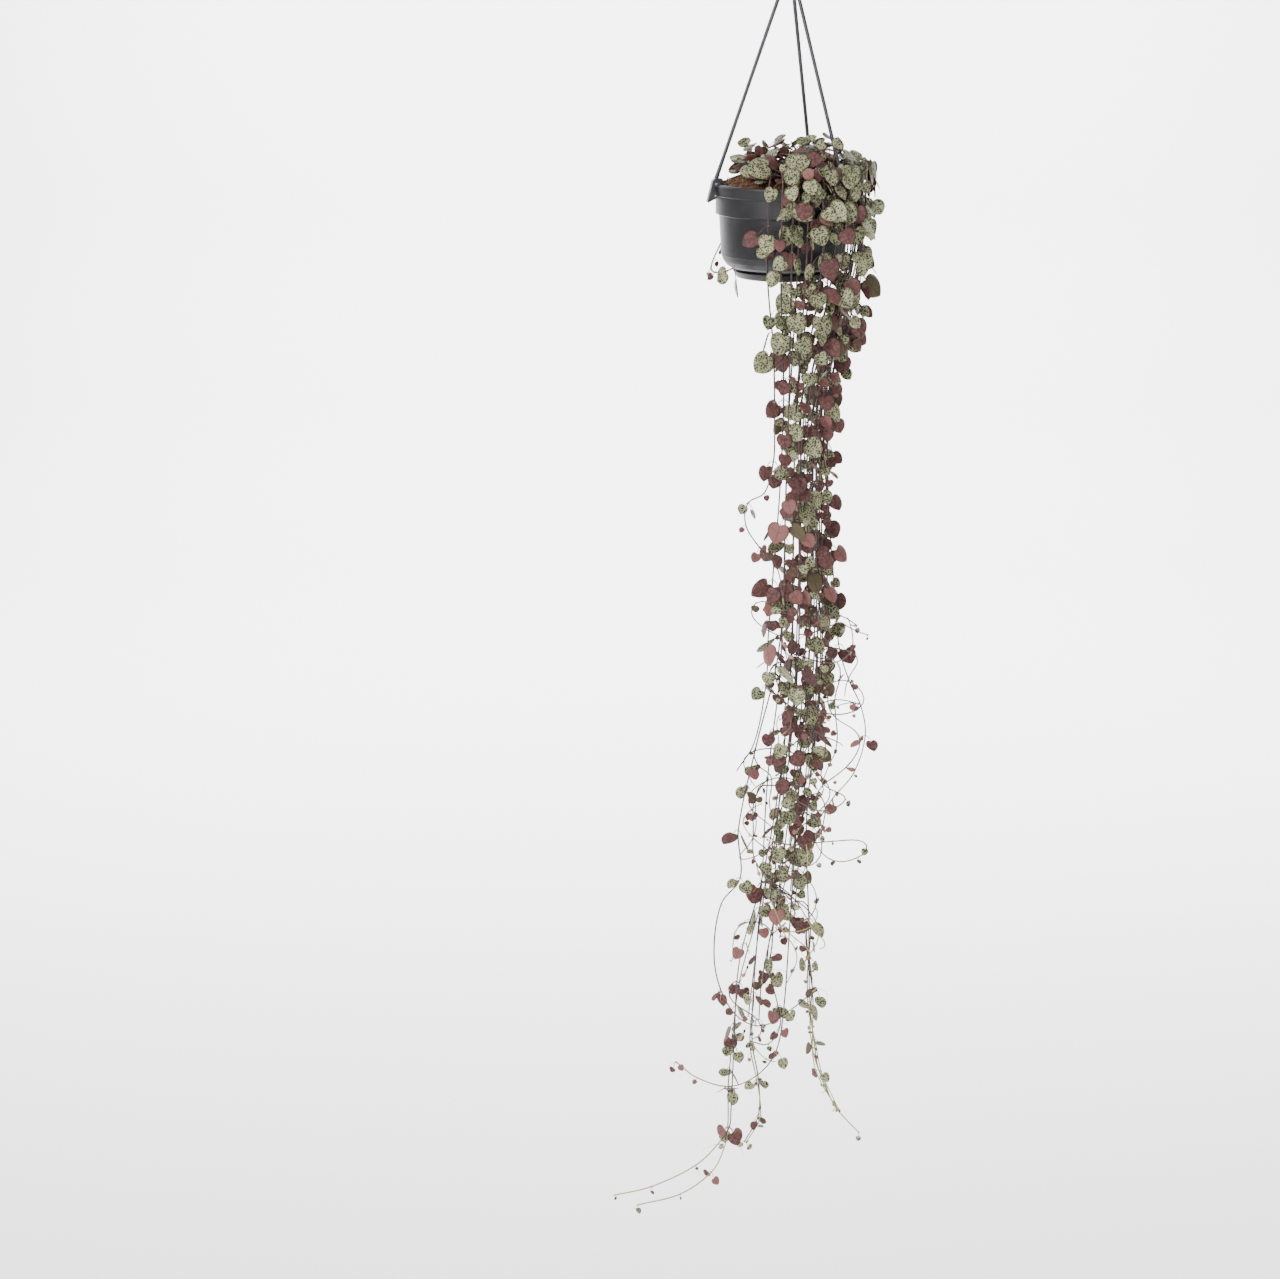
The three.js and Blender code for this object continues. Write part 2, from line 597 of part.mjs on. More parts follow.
function leafWidth(vine, index, height, draw) {
  const size = LEAF_WIDTH * mix(0.78, 1.2, draw());
  const { tail, tailWidth } = vine.plan;
  if (tailWidth && index >= vine.path.length - tail.length) return tailWidth;
  const fromTip = vine.path.length - 1 - index;
  const young = vine.kind === 'shoot' ? 0.84 : mix(0.45, 1, Math.min(fromTip / 3, 1));
  const low = height < -860 ? 0.72 : 1;
  return size * young * low;
}

// Takes the first of a number of drawn placings whose blade and stalk touch nothing. Beside its own joint
// only the stalk's outer part has to be clear of the stem.
function place(vine, taken, makeOne, boxesOf) {
  for (let attempt = 0; attempt < TRIES; attempt += 1) {
    const one = makeOne(attempt);
    const [blade, stalk, stalkEnd] = boxesOf(one);
    const free = clearOfPot(blade) && taken.every((other) => {
      const beside = other.vine === vine && (other.length === one.index || other.length === one.index - 1);
      return apart(blade, other.box) && apart(beside ? stalkEnd : stalk, other.box);
    });
    if (!free) continue;
    taken.push({ vine, box: blade }, { vine, box: stalk });
    return one;
  }
  return null;
}

function growLeaves(vine, taken) {
  const draw = draws(vine.seed * 977 + 5);
  const last = vine.path.length - 1;
  vine.leaves = [];
  vine.flowers = [];
  for (let index = 2; index <= last; index += 1) {
    if (!bearsLeaves(vine, index, draw)) continue;
    const joint = vine.path[index];
    const stem = directionAt(vine.path, index);
    const width = leafWidth(vine, index, joint.z, draw);
    const makeLeaf = joint.z > 9 ? crownLeaf : hangingLeaf;
    const outwards = Math.atan2(joint.y, joint.x) / DEG;
    const over = Math.hypot(joint.x, joint.y) > 48 && -joint.z < UPPER_DEPTH;
    const first = draw() < 0.6 ? mix(-50, 50, draw()) : draw() * 360;
    const headings = over ? [outwards + 55, outwards - 55] : [first, first + 180];
    if (index === last && vine.plan.aim) headings[0] = vine.plan.aim;
    for (const heading of headings) {
      const leaf = place(vine, taken, (attempt) => {
        const angle = heading + mix(-75, 75, draw()) * Math.min(attempt / 8 + 0.2, 1);
        const shrink = 1 - 0.02 * Math.max(attempt - 6, 0);
        const reach = PETIOLE_LENGTH * (1 + (over ? 0.05 : 0.03) * attempt);
        return { index, ...makeLeaf(joint, stem, angle, width * shrink, reach, draw) };
      }, leafBoxes);
      if (leaf) vine.leaves.push(leaf);
    }
    const outs = vine.leaves.filter((leaf) => leaf.index === index).map((leaf) => leaf.out);
    const onTail = index >= last - (vine.plan.tail ?? []).length;
    if (draw() > FLOWER_CHANCE || -joint.z < FLOWER_DEPTH || onTail || outs.length === 0) continue;
    const flower = place(vine, taken, () => flowerFrame(index, joint, stem, outs), flowerBoxes);
    if (flower) vine.flowers.push(flower);
  }
}

// ---- The shell of a stem with its leaves ---------------------------------------------------------------

function corner(shell, point) {
  return shell.points.push(point) - 1;
}

// Joins two rings of as many corners, both in the same order as seen from one end, with the least twist.
// Each side is split along its shorter diagonal, so that a twisted tube keeps its thickness.
function join(shell, low, high) {
  const count = low.length;
  const [lowMiddle, highMiddle] = [low, high].map((ring) => (
    ring.reduce((sum, k) => sum.add(shell.points[k]), new THREE.Vector3()).divideScalar(count)));
  const agreement = (shift) => low.reduce((sum, start, i) => {
    const spoke = shell.points[high[(i + shift) % count]].clone().sub(highMiddle);
    return sum + spoke.dot(shell.points[start].clone().sub(lowMiddle));
  }, 0);
  const shifts = low.map((_, i) => i);
  const shift = shifts.reduce((best, other) => (agreement(other) > agreement(best) ? other : best));
  const span = (i, j) => shell.points[i].distanceTo(shell.points[j]);
  for (let i = 0; i < count; i += 1) {
    const [a, b] = [low[i], low[(i + 1) % count]];
    const [c, d] = [high[(i + 1 + shift) % count], high[(i + shift) % count]];
    if (span(a, c) < span(b, d)) shell.faces.push([a, b, c], [a, c, d]);
    else shell.faces.push([a, b, d], [b, c, d]);
  }
}

// Adds a blade and its petiole. The top is flat, and the underside swells to the blade's thickness. root
// holds the four corners of the stem that it grows from, in order round the opening, seen from outside.
function addLeaf(shell, leaf, root) {
  const at = (across, towards, up) => corner(shell, leaf.notch.clone()
    .addScaledVector(leaf.side, across)
    .addScaledVector(leaf.along, towards * leaf.length)
    .addScaledVector(leaf.face, up));
  const right = at(PETIOLE_RADIUS, NOTCH, 0);
  const edge = [right];
  for (const [across, towards] of HEART) edge.push(at(across * leaf.width, towards, 0));
  const tip = at(0, 1, 0);
  edge.push(tip);
  for (const [across, towards] of HEART.toReversed()) edge.push(at(-across * leaf.width, towards, 0));
  const left = at(-PETIOLE_RADIUS, NOTCH, 0);
  edge.push(left);
  const under = at(0, BLADE_MIDDLE, -BLADE_THICKNESS);
  const ridge = at(0, NOTCH, PETIOLE_RADIUS);
  const keel = at(0, NOTCH, -PETIOLE_RADIUS);
  for (let i = 0; i < edge.length - 1; i += 1) {
    if (edge[i] !== tip && edge[i + 1] !== tip) shell.faces.push([edge[i], edge[i + 1], tip]);
    shell.faces.push([edge[i + 1], edge[i], under]);
  }
  shell.faces.push([left, ridge, tip], [ridge, right, tip], [right, keel, under], [keel, left, under]);
  join(shell, root, [left, ridge, right, keel]);
}

// Adds a flower: a thin stalk, a swollen base, a slim tube and a closed lantern at its tip.
function addFlower(shell, flower, root) {
  const side = flower.along.clone().cross(flower.out).normalize();
  const front = side.clone().cross(flower.along);
  const ringAt = (towards, radius) => [0, 1, 2, 3].map((k) => corner(shell, flower.foot.clone()
    .addScaledVector(flower.along, towards * FLOWER_LENGTH)
    .addScaledVector(side, radius * Math.cos((k * Math.PI) / 2))
    .addScaledVector(front, -radius * Math.sin((k * Math.PI) / 2))));
  let low = ringAt(0, PETIOLE_RADIUS);
  join(shell, root, low);
  for (const [towards, share] of [[0.18, 1], [0.42, 0.45], [0.8, 0.6]]) {
    const high = ringAt(towards, FLOWER_RADIUS * share);
    join(shell, low, high);
    low = high;
  }
  const tip = corner(shell, flower.foot.clone().addScaledVector(flower.along, FLOWER_LENGTH));
  for (let k = 0; k < 4; k += 1) shell.faces.push([low[k], low[(k + 1) % 4], tip]);
}

// A stem is a three-sided tube. At a joint with leaves a second ring follows the first, and the short
// faces between the two open into the petioles and the flower's stalk.
function vineSolid(vine) {
  const { path } = vine;
  const shell = { points: [], faces: [] };
  const last = path.length - 1;
  let across = new THREE.Vector3(1, 0, 0);
  let heading = new THREE.Vector3(0, 0, 1);
  let before = null;

  function ring(centre, along, radius) {
    const third = along.clone().cross(across);
    return [0, 1, 2].map((k) => {
      const angle = ((2 * k - 1) * Math.PI) / STEM_SIDES;
      const point = centre.clone().addScaledVector(across, radius * Math.cos(angle));
      return corner(shell, point.addScaledVector(third, radius * Math.sin(angle)));
    });
  }

  function band(low, high, growths) {
    const used = new Set();
    for (const [growth, add] of growths) {
      const facing = (k) => {
        const middle = shell.points[low[k]].clone().add(shell.points[low[(k + 1) % 3]]).multiplyScalar(0.5);
        return used.has(k) ? -Infinity : middle.sub(growth.joint).dot(growth.out);
      };
      const side = [0, 1, 2].reduce((best, k) => (facing(k) > facing(best) ? k : best));
      used.add(side);
      const next = (side + 1) % 3;
      add(shell, growth, [low[side], low[next], high[next], high[side]]);
    }
    for (let k = 0; k < 3; k += 1) {
      const next = (k + 1) % 3;
      if (!used.has(k)) shell.faces.push([low[k], low[next], high[next]], [low[k], high[next], high[k]]);
    }
  }

  // The middle of the stem's first face: straight under one leaf, or a sixth of a turn before the middle
  // of two, so that each gets a face of its own. A flower takes the third.
  function openingSide(outs, along) {
    if (outs.length === 1) return outs[0].clone();
    const between = outs[0].clone().add(outs[1]);
    if (outs.length === 3) between.copy(outs[2]).negate();
    else if (between.length() < 0.3) between.copy(along).cross(outs[0]);
    between.addScaledVector(along, -between.dot(along)).normalize();
    return between.clone().applyAxisAngle(along, -60 * DEG);
  }

  path.forEach((point, i) => {
    const growths = [
      ...vine.leaves.map((leaf) => [leaf, addLeaf]),
      ...vine.flowers.map((flower) => [flower, addFlower]),
    ].filter(([growth]) => growth.index === i);
    const along = directionAt(path, i);
    across.applyQuaternion(new THREE.Quaternion().setFromUnitVectors(heading, along));
    if (growths.length > 0) across = openingSide(growths.map(([growth]) => growth.out), along);
    across.addScaledVector(along, -across.dot(along)).normalize();
    heading = along;
    const radius = mix(STEM_RADIUS, TIP_RADIUS, i / last);
    const half = growths.length > 0 ? radius * 0.8 : 0;
    const low = ring(point.clone().addScaledVector(along, -half), along, radius);
    if (before) join(shell, before, low);
    else shell.faces.push([low[0], low[2], low[1]]);
    before = low;
    if (growths.length === 0) return;
    before = ring(point.clone().addScaledVector(along, half), along, radius);
    band(low, before, growths);
  });
  shell.faces.push(before);
  return fromFaces(shell.points, shell.faces);
}

// ---- The plant ----------------------------------------------------------------------------------------

const armBoxes = ARM_AZIMUTHS.flatMap((azimuth) => [
  barBox(
    polar(azimuth, ARM_TOP_RADIUS, armTop),
    polar(azimuth, ARM_FOOT_RADIUS, ARM_FOOT_RISE),
    ARM_RADIUS + 0.6,
  ),
  box(
    polar(azimuth, (RIM_MOUTH + RIM_RADIUS) / 2 + 1, -5),
    [polar(azimuth, 1, 0), polar(azimuth + 90, 1, 0), new THREE.Vector3(0, 0, 1)],
    [9.5, CLIP_WIDTH / 2 + 0.8, 13],
  ),
]);

function clearStem(boxes, taken) {
  return boxes.every((part) => taken.every((other) => apart(part, other.box)));
}

// A stem that would touch an earlier one, an arm or a clip is drawn again.
function growStems() {
  const taken = armBoxes.map((shape) => ({ vine: null, box: shape }));
  const vines = [];
  const plans = [
    ...SHOOTS.map((plan) => [plan, 'shoot', shootPath]),
    ...HANGING.map((plan) => [plan, 'vine', hangingPath]),
  ];
  plans.forEach(([plan, kind, pathOf], number) => {
    for (let attempt = 0; attempt < 300; attempt += 1) {
      const seed = 101 + number * 61 + attempt * 7;
      const draw = draws(seed * 2654435);
      draw();
      const path = pathOf(plan, draw);
      const boxes = stemBoxes(path, STEM_CLEARANCE / 2);
      if (!clearStem(boxes, taken)) continue;
      const vine = { kind, plan, seed, path };
      vines.push(vine);
      boxes.forEach((shape, length) => taken.push({ vine, box: shape, length }));
      return;
    }
    throw new Error(`no clear route for ${kind} ${number}`);
  });
  return [vines, taken];
}

const [vines, taken] = growStems();
for (const vine of vines) growLeaves(vine, taken);

// ---- Soil, with a plain hole for each stem ------------------------------------------------------------

function soil() {
  const wall = POT_WALL + GAP + 0.4;
  const profile = [
    [0, -BASE_DROP + POT_WALL + 1.5], [BASE_RADIUS - 2, -BASE_DROP + POT_WALL + 2],
    [BODY_FOOT_RADIUS - wall, -BODY_FOOT_DROP], [BODY_TOP_RADIUS - wall, -COLLAR_DROP - 2],
    [RIM_MOUTH - GAP - 2.4, SOIL_EDGE],
  ];
  for (const share of [0.8, 0.5, 0]) {
    const radius = share * (RIM_MOUTH - 1);
    profile.push([radius, soilHeight(radius)]);
  }
  let body = lathe(profile, SOIL_SIDES);
  for (const { path } of vines) {
    const drill = new THREE.CylinderGeometry(HOLE_RADIUS, HOLE_RADIUS, HOLE_DEPTH * 2, 4);
    drill.rotateX(Math.PI / 2);
    const radius = Math.hypot(path[0].x, path[0].y);
    drill.translate(path[0].x, path[0].y, soilHeight(radius));
    body = body.subtract(solid(drill));
  }
  return body;
}

// ---- The whole object ---------------------------------------------------------------------------------

const BLACK_PLASTIC = 0x3b3a3e;
const HANGER_PLASTIC = 0x4c4b51;
const COIR = 0x8a4a20;
const LEAF = 0x8d8f78;

const potted = new THREE.Group();
potted.position.z = -RIM_DROP;
potted.add(
  piece('pot', potBody, BLACK_PLASTIC, 0.45),
  piece('saucer', saucerBody, BLACK_PLASTIC, 0.5),
  piece('soil', soil(), COIR, 0.95),
  piece('hanger', hanger(), HANGER_PLASTIC, 0.5),
);
const counts = { vine: 0, shoot: 0 };
for (const vine of vines) {
  counts[vine.kind] += 1;
  const number = String(counts[vine.kind]).padStart(2, '0');
  potted.add(piece(`${vine.kind}_${number}`, vineSolid(vine), LEAF, 0.6));
}

const stringOfHearts = new THREE.Group();
stringOfHearts.add(potted);

export default stringOfHearts;
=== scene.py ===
import math
import random
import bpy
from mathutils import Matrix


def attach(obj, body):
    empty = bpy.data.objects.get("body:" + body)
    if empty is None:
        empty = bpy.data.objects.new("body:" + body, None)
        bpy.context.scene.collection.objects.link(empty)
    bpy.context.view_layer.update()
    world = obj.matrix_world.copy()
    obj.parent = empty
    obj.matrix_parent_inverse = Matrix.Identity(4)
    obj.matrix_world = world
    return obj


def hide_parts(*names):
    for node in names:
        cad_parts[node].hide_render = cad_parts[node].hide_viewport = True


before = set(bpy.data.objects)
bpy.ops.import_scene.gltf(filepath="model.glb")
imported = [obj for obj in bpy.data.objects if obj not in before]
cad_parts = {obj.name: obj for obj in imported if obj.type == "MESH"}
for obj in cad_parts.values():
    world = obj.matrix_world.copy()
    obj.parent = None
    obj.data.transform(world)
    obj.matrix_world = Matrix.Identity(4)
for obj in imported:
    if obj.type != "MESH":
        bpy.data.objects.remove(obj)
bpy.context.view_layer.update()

from types import SimpleNamespace

import bmesh
import bpy
import numpy as np
from mathutils import Matrix, Vector, noise

# ---- Camera ----
# The camera stands 1.8 m in front of the pot, just above its rim, and looks down along the stems.

CAMERA_PLACE = (-0.143, -1.8, -0.096)
CAMERA_PITCH = 19.15  # degrees below the horizon
FOCAL_LENGTH = 1772  # pixels
IMAGE_WIDTH = 1280
SENSOR_WIDTH = 36.0

scene = bpy.context.scene
camera_data = bpy.data.cameras.new("camera")
camera_data.sensor_width = SENSOR_WIDTH
camera_data.lens = SENSOR_WIDTH * FOCAL_LENGTH / IMAGE_WIDTH
camera = bpy.data.objects.new("camera", camera_data)
camera.location = CAMERA_PLACE
camera.rotation_euler = (math.radians(90 - CAMERA_PITCH), 0, 0)
scene.collection.objects.link(camera)
scene.camera = camera

# ---- Pot ----
# A thin-walled nursery pot, moulded in recycled black polypropylene. The wall steps out to a collar and
# again to a rolled rim band, which stiffens it and gives the hanger's clips an edge to catch.

MM = 0.001
RIM_DROP = 244  # mm, from the hook's seat down to the top of the rim
POT_STEPS = 96  # flat faces round a turned piece
POT_CORNER = 0.5  # mm, radius of a moulded corner
POT_PROFILE = [  # mm: radius, height above the rim; up the outside, over the rim and down the inside
    (0, -82.3), (42.4, -82.3), (42.8, -88.9), (45, -88.9), (45.6, -82.1), (51.5, -81.7), (56, -79.1),
    (59.6, -74.4), (61, -71), (61.4, -69.4), (61.9, -68.8), (64.6, -30.2), (68.1, -29), (68.4, -11.4),
    (70.3, -11), (70.5, -2), (69.5, -0.4), (67.9, 0), (66.4, -0.6), (66, -3), (65.6, -27), (62.8, -31),
    (59.2, -71), (51.5, -78.9), (0, -79.9),
]


def tint(hex_code):
    """A screen colour as the light it stands for."""
    parts = [int(hex_code[i:i + 2], 16) / 255 for i in (0, 2, 4)]
    return (*[part / 12.92 if part < 0.04045 else ((part + 0.055) / 1.055) ** 2.4 for part in parts], 1)


CHARCOAL, CHARCOAL_WORN = "161518", "29282b"


def in_order(form):
    """Sorts the faces by their points, because some operators leave them in another order each run."""
    form.verts.index_update()
    count = len(form.verts)

    def rank(face):
        first, second, third = sorted(vert.index for vert in face.verts)[:3]
        return (first * count + second) * count + third

    form.faces.sort(key=rank)


def spun(points, steps, corner=0):
    """A line of (x, z) points, its corners rounded where a radius is given, turned about the upright axis."""
    form = bmesh.new()
    line = [form.verts.new((x, 0, z)) for x, z in points]
    for start, end in zip(line, line[1:]):
        form.edges.new((start, end))
    if corner:
        bmesh.ops.bevel(
            form, geom=line[1:-1], offset=corner, segments=2, profile=0.5,
            affect="VERTICES", material=-1, clamp_overlap=True,
        )
    bmesh.ops.spin(
        form, geom=form.verts[:] + form.edges[:], axis=(0, 0, 1), cent=(0, 0, 0), dvec=(0, 0, 0),
        angle=2 * math.pi, steps=steps, use_merge=True,
    )
    return form


def turned(profile, corner, steps=POT_STEPS):
    """A closed solid about the pot's axis, from radii and heights in mm."""
    form = spun([(radius * MM, (height - RIM_DROP) * MM) for radius, height in profile], steps, corner * MM)
    bmesh.ops.remove_doubles(form, verts=form.verts, dist=1e-6)
    bmesh.ops.recalc_face_normals(form, faces=form.faces)
    in_order(form)
    return form


def as_mesh(name, form):
    mesh = bpy.data.meshes.new(name)
    form.to_mesh(mesh)
    form.free()
    return mesh


def placed(name, form, *materials):
    """Turns a finished form into an object in the scene."""
    in_order(form)
    mesh = as_mesh(name, form)
    mesh.polygons.foreach_set("use_smooth", [True] * len(mesh.polygons))
    for material in materials:
        mesh.materials.append(material)
    piece = bpy.data.objects.new(name, mesh)
    scene.collection.objects.link(piece)
    return piece


def even_shading(piece):
    """Lets the large faces of a moulded piece shade flat right up to its rounded corners."""
    modifier = piece.modifiers.new("even shading", "WEIGHTED_NORMAL")
    modifier.weight = 80


class Look:
    """A new material. Each call adds a shader node and returns one of its outputs."""

    def __init__(self, name):
        self.material = bpy.data.materials.new(name)
        self.material.use_nodes = True
        self.tree = self.material.node_tree

    def plug(self, made, inputs):
        """Sets a node's inputs. A socket is linked to its input, and a hex code stands for a colour."""
        for name, value in inputs.items():
            if isinstance(value, bpy.types.NodeSocket):
                self.tree.links.new(value, made.inputs[name])
            else:
                made.inputs[name].default_value = tint(value) if isinstance(value, str) else value

    def node(self, kind, settings, inputs, output=0):
        made = self.tree.nodes.new("ShaderNode" + kind)
        for name, value in settings.items():
            setattr(made, name, value)
        self.plug(made, inputs)
        return made.outputs[output]

    def place(self):
        return self.node("TexCoord", {}, {}, "Object")

    def noise(self, where, scale, detail, roughness=0.5, dimensions="3D", output=0):
        return self.node("TexNoise", {"noise_dimensions": dimensions}, {
            "Vector": where, "Scale": scale, "Detail": detail, "Roughness": roughness,
        }, output)

    def maths(self, operation, *values):
        return self.node("Math", {"operation": operation}, dict(enumerate(values)))

    def times(self, a, b):
        return self.maths("MULTIPLY", a, b)

    def blend(self, share, a, b):
        return self.node("Mix", {"data_type": "RGBA"}, {0: share, 6: a, 7: b}, 2)

    def ramp(self, value, low, high):
        """Runs smoothly from 0 where the value is low to 1 where it is high."""
        return self.node("MapRange", {"interpolation_type": "SMOOTHSTEP"}, {
            "Value": value, "From Min": low, "From Max": high,
        })

    def coat(self, colour, roughness, relief=None, strength=0, depth=0, invert=False, shine=0.5):
        """Gives the shader its colour, roughness, relief and shine, and returns the material."""
        inputs = {"Base Color": colour, "Roughness": roughness, "Specular IOR Level": shine}
        if relief is not None:
            inputs["Normal"] = self.node("Bump", {"invert": invert}, {
                "Height": relief, "Strength": strength, "Distance": depth,
            })
        self.plug(self.tree.nodes["Principled BSDF"], inputs)
        return self.material


def moulded_plastic(name, fresh, worn, scale, gloss, dull):
    """Satin plastic with fine grain, paler and duller in clouds and scuffs where it was handled."""
    look = Look(name)
    where = look.place()
    clouds = look.ramp(look.noise(where, scale, 4, 0.6), 0.35, 0.68)
    stretched = look.node("Mapping", {}, {"Vector": where, "Rotation": (0.2, 0.5, 0.3), "Scale": (1, 1, 9)})
    scuffs = look.ramp(look.noise(stretched, scale * 4, 3, 0.7), 0.62, 0.74)
    wear = look.maths("MULTIPLY_ADD", scuffs, 0.5, look.times(clouds, 0.55))
    roughness = look.node("MapRange", {}, {"Value": clouds, "To Min": gloss, "To Max": dull})
    grain = look.noise(where, scale * 60, 2)
    return look.coat(look.blend(wear, fresh, worn), roughness, grain, 0.12, 0.0002)


pot_plastic = moulded_plastic("pot plastic", CHARCOAL, CHARCOAL_WORN, 16, 0.4, 0.54)
pot = placed("nursery_pot", turned(POT_PROFILE, POT_CORNER), pot_plastic)
even_shading(pot)
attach(pot, "root")
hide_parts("pot")

# ---- Saucer ----
# A shallow drip tray in the same black plastic, pressed on under the foot of the pot. Its wall flares a
# little and stands clear of the pot, so a dark gap shows between the two.

SAUCER_PROFILE = [(0, -91), (45.8, -91), (46.8, -90), (50, -84.4), (48.4, -84.4), (45.2, -89.2), (0, -89.2)]

saucer = placed("drip_saucer", turned(SAUCER_PROFILE, 0.35), pot_plastic)
even_shading(saucer)
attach(saucer, "root")
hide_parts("saucer")

# ---- Hanger ----
# One moulding in dark grey plastic: an open hook, a hub under it, three straight arms and on each arm's end
# a clip that straddles the rim and catches under its band.

GREY, GREY_WORN = "2d2c31", "45444a"
HOOK_INNER_RADIUS = 9  # mm
HOOK_BAR = 2.4  # radius of the bar
HUB_TOP = RIM_DROP - 47
HUB_HEIGHT = 9
HUB_RADIUS = 7
ARM_AZIMUTHS = [-170, -42, 63]
ARM_RADIUS = 1.9
ARM_TOP = (4, HUB_TOP - 5.4)  # distance from the axis and height, where an arm leaves the hub
ARM_FOOT = (69.5, 5)
ARM_SIZES = [  # share of an arm's length from the hub, share of its radius
    (0, 1.25), (0.04, 1.05), (0.1, 1), (0.5, 0.96), (0.9, 1), (0.97, 1.1), (1, 1.2),
]
CLIP_WIDTH = 8
CLIP_PROFILE = [  # mm: distance from the pot's axis, height above the rim
    (63.1, -2.6), (65.1, -2.6), (65.3, 0.7), (70.8, 0.7), (71.2, -11.3), (69, -11.7), (69.2, -13.6),
    (73.8, -15.6), (77.6, -17.6), (78.4, -16.6), (75, -3), (73.4, 3.6), (70.8, 5.4), (64.5, 5.4), (63.1, 3.6),
]


def polar(azimuth, radius, height):
    angle = math.radians(azimuth)
    return np.array((radius * math.cos(angle), radius * math.sin(angle), height))


def azimuth_of(point):
    return math.degrees(math.atan2(point[1], point[0]))


def unit(way):
    return way / np.linalg.norm(way)


def heading_at(path, index):
    return unit(path[min(index + 1, len(path) - 1)] - path[max(index - 1, 0)])


def curve_point(start, end, leaving, entering, t):
    """A point on the curve between two points that has these slopes at its ends."""
    return (
        start * (2 * t ** 3 - 3 * t ** 2 + 1) + end * (3 * t ** 2 - 2 * t ** 3)
        + leaving * (t ** 3 - 2 * t ** 2 + t) + entering * (t ** 3 - t ** 2)
    )


def smooth_line(points, spacing):
    """A smooth line through points, in steps of at most so many mm, and each step's place in the row."""
    points = [np.asarray(point, float) for point in points]
    headings = [heading_at(points, i) for i in range(len(points))]
    line, places = [points[0]], [0.0]
    for i in range(len(points) - 1):
        start, end = points[i:i + 2]
        reach = np.linalg.norm(end - start)
        steps = max(2, math.ceil(reach / spacing))
        for t in np.arange(1, steps + 1) / steps:
            line.append(curve_point(start, end, headings[i] * reach, headings[i + 1] * reach, t))
            places.append(i + t)
    return line, places


def in_place(point):
    """A point in mm from the rim's middle, as one in metres from the hook's seat."""
    return (point[0] * MM, point[1] * MM, (point[2] - RIM_DROP) * MM)


def tubes(lines, sides):
    """Round rods along lines of (point, radius), as one mesh. The ends are capped."""
    curve = bpy.data.curves.new("rods", "CURVE")
    curve.dimensions = "3D"
    curve.bevel_depth = MM
    curve.bevel_resolution = sides // 2 - 2
    curve.use_fill_caps = True
    for line in lines:
        spline = curve.splines.new("POLY")
        spline.points.add(len(line) - 1)
        spline.points.foreach_set("co", [x for point, _ in line for x in (*in_place(point), 1)])
        spline.points.foreach_set("radius", [radius for _, radius in line])
    holder = bpy.data.objects.new("rods", curve)
    mesh = bpy.data.meshes.new_from_object(holder)
    bpy.data.objects.remove(holder)
    bpy.data.curves.remove(curve)
    return mesh


def take_in(form, mesh):
    """Adds a mesh to a form and removes it from the file. Returns the new faces."""
    before = len(form.faces)
    form.from_mesh(mesh)
    bpy.data.meshes.remove(mesh)
    form.faces.ensure_lookup_table()
    return form.faces[before:]


def hook_line():
    radius = HOOK_INNER_RADIUS + HOOK_BAR
    middle = RIM_DROP - HOOK_INNER_RADIUS
    points = [(0, 0, HUB_TOP - 3), (0.3, 0, HUB_TOP + 6), (1.4, 0, HUB_TOP + 15)]
    for angle in range(-42, 197, 34):
        points.append(polar(angle, radius, 0)[[0, 2, 1]] + (0, 0, middle))
    points.append((-radius - 2.2, 0, middle - 8.5))
    return [(point, HOOK_BAR) for point in smooth_line(points, 1.5)[0]]


def clip(form, azimuth):
    """Adds a clip to the hanger, as two outlines and the walls between them, with its edges rounded."""
    near, far = [
        [form.verts.new((radius * MM, side * CLIP_WIDTH / 2 * MM, (height - RIM_DROP) * MM))
         for radius, height in CLIP_PROFILE]
        for side in (-1, 1)
    ]
    faces = [form.faces.new(near), form.faces.new(far[::-1])]
    faces += [form.faces.new((near[i - 1], far[i - 1], far[i], near[i])) for i in range(len(near))]
    bmesh.ops.rotate(form, verts=near + far, matrix=Matrix.Rotation(math.radians(azimuth), 3, "Z"))
    bmesh.ops.recalc_face_normals(form, faces=faces)
    bmesh.ops.bevel(
        form, geom=list(dict.fromkeys(edge for face in faces for edge in face.edges)), offset=0.3 * MM,
        segments=2, profile=0.5, affect="EDGES", material=-1, clamp_overlap=True,
    )

hub_foot = HUB_TOP - HUB_HEIGHT
hanger_form = turned([
    (0, hub_foot), (HUB_RADIUS - 1, hub_foot), (HUB_RADIUS, hub_foot + 2), (HUB_RADIUS - 1, HUB_TOP - 3),
    (HOOK_BAR + 1, HUB_TOP), (0, HUB_TOP),
], 0.5, 48)
rods = [hook_line()]
for azimuth in ARM_AZIMUTHS:
    top, foot = polar(azimuth, *ARM_TOP), polar(azimuth, *ARM_FOOT)
    rods.append([(top + (foot - top) * share, ARM_RADIUS * size) for share, size in ARM_SIZES])
    clip(hanger_form, azimuth)
take_in(hanger_form, tubes(rods, 16))
hanger_plastic = moulded_plastic("hanger plastic", GREY, GREY_WORN, 30, 0.34, 0.5)
hanger = placed("moulded_hanger", hanger_form, hanger_plastic)
even_shading(hanger)
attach(hanger, "root")
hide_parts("hanger")

# ---- Coir ----
# The pot is filled with shredded coconut coir: a lumpy orange-brown mound of short fibres and bits of husk,
# a little below the rim at the wall and above it in the middle.

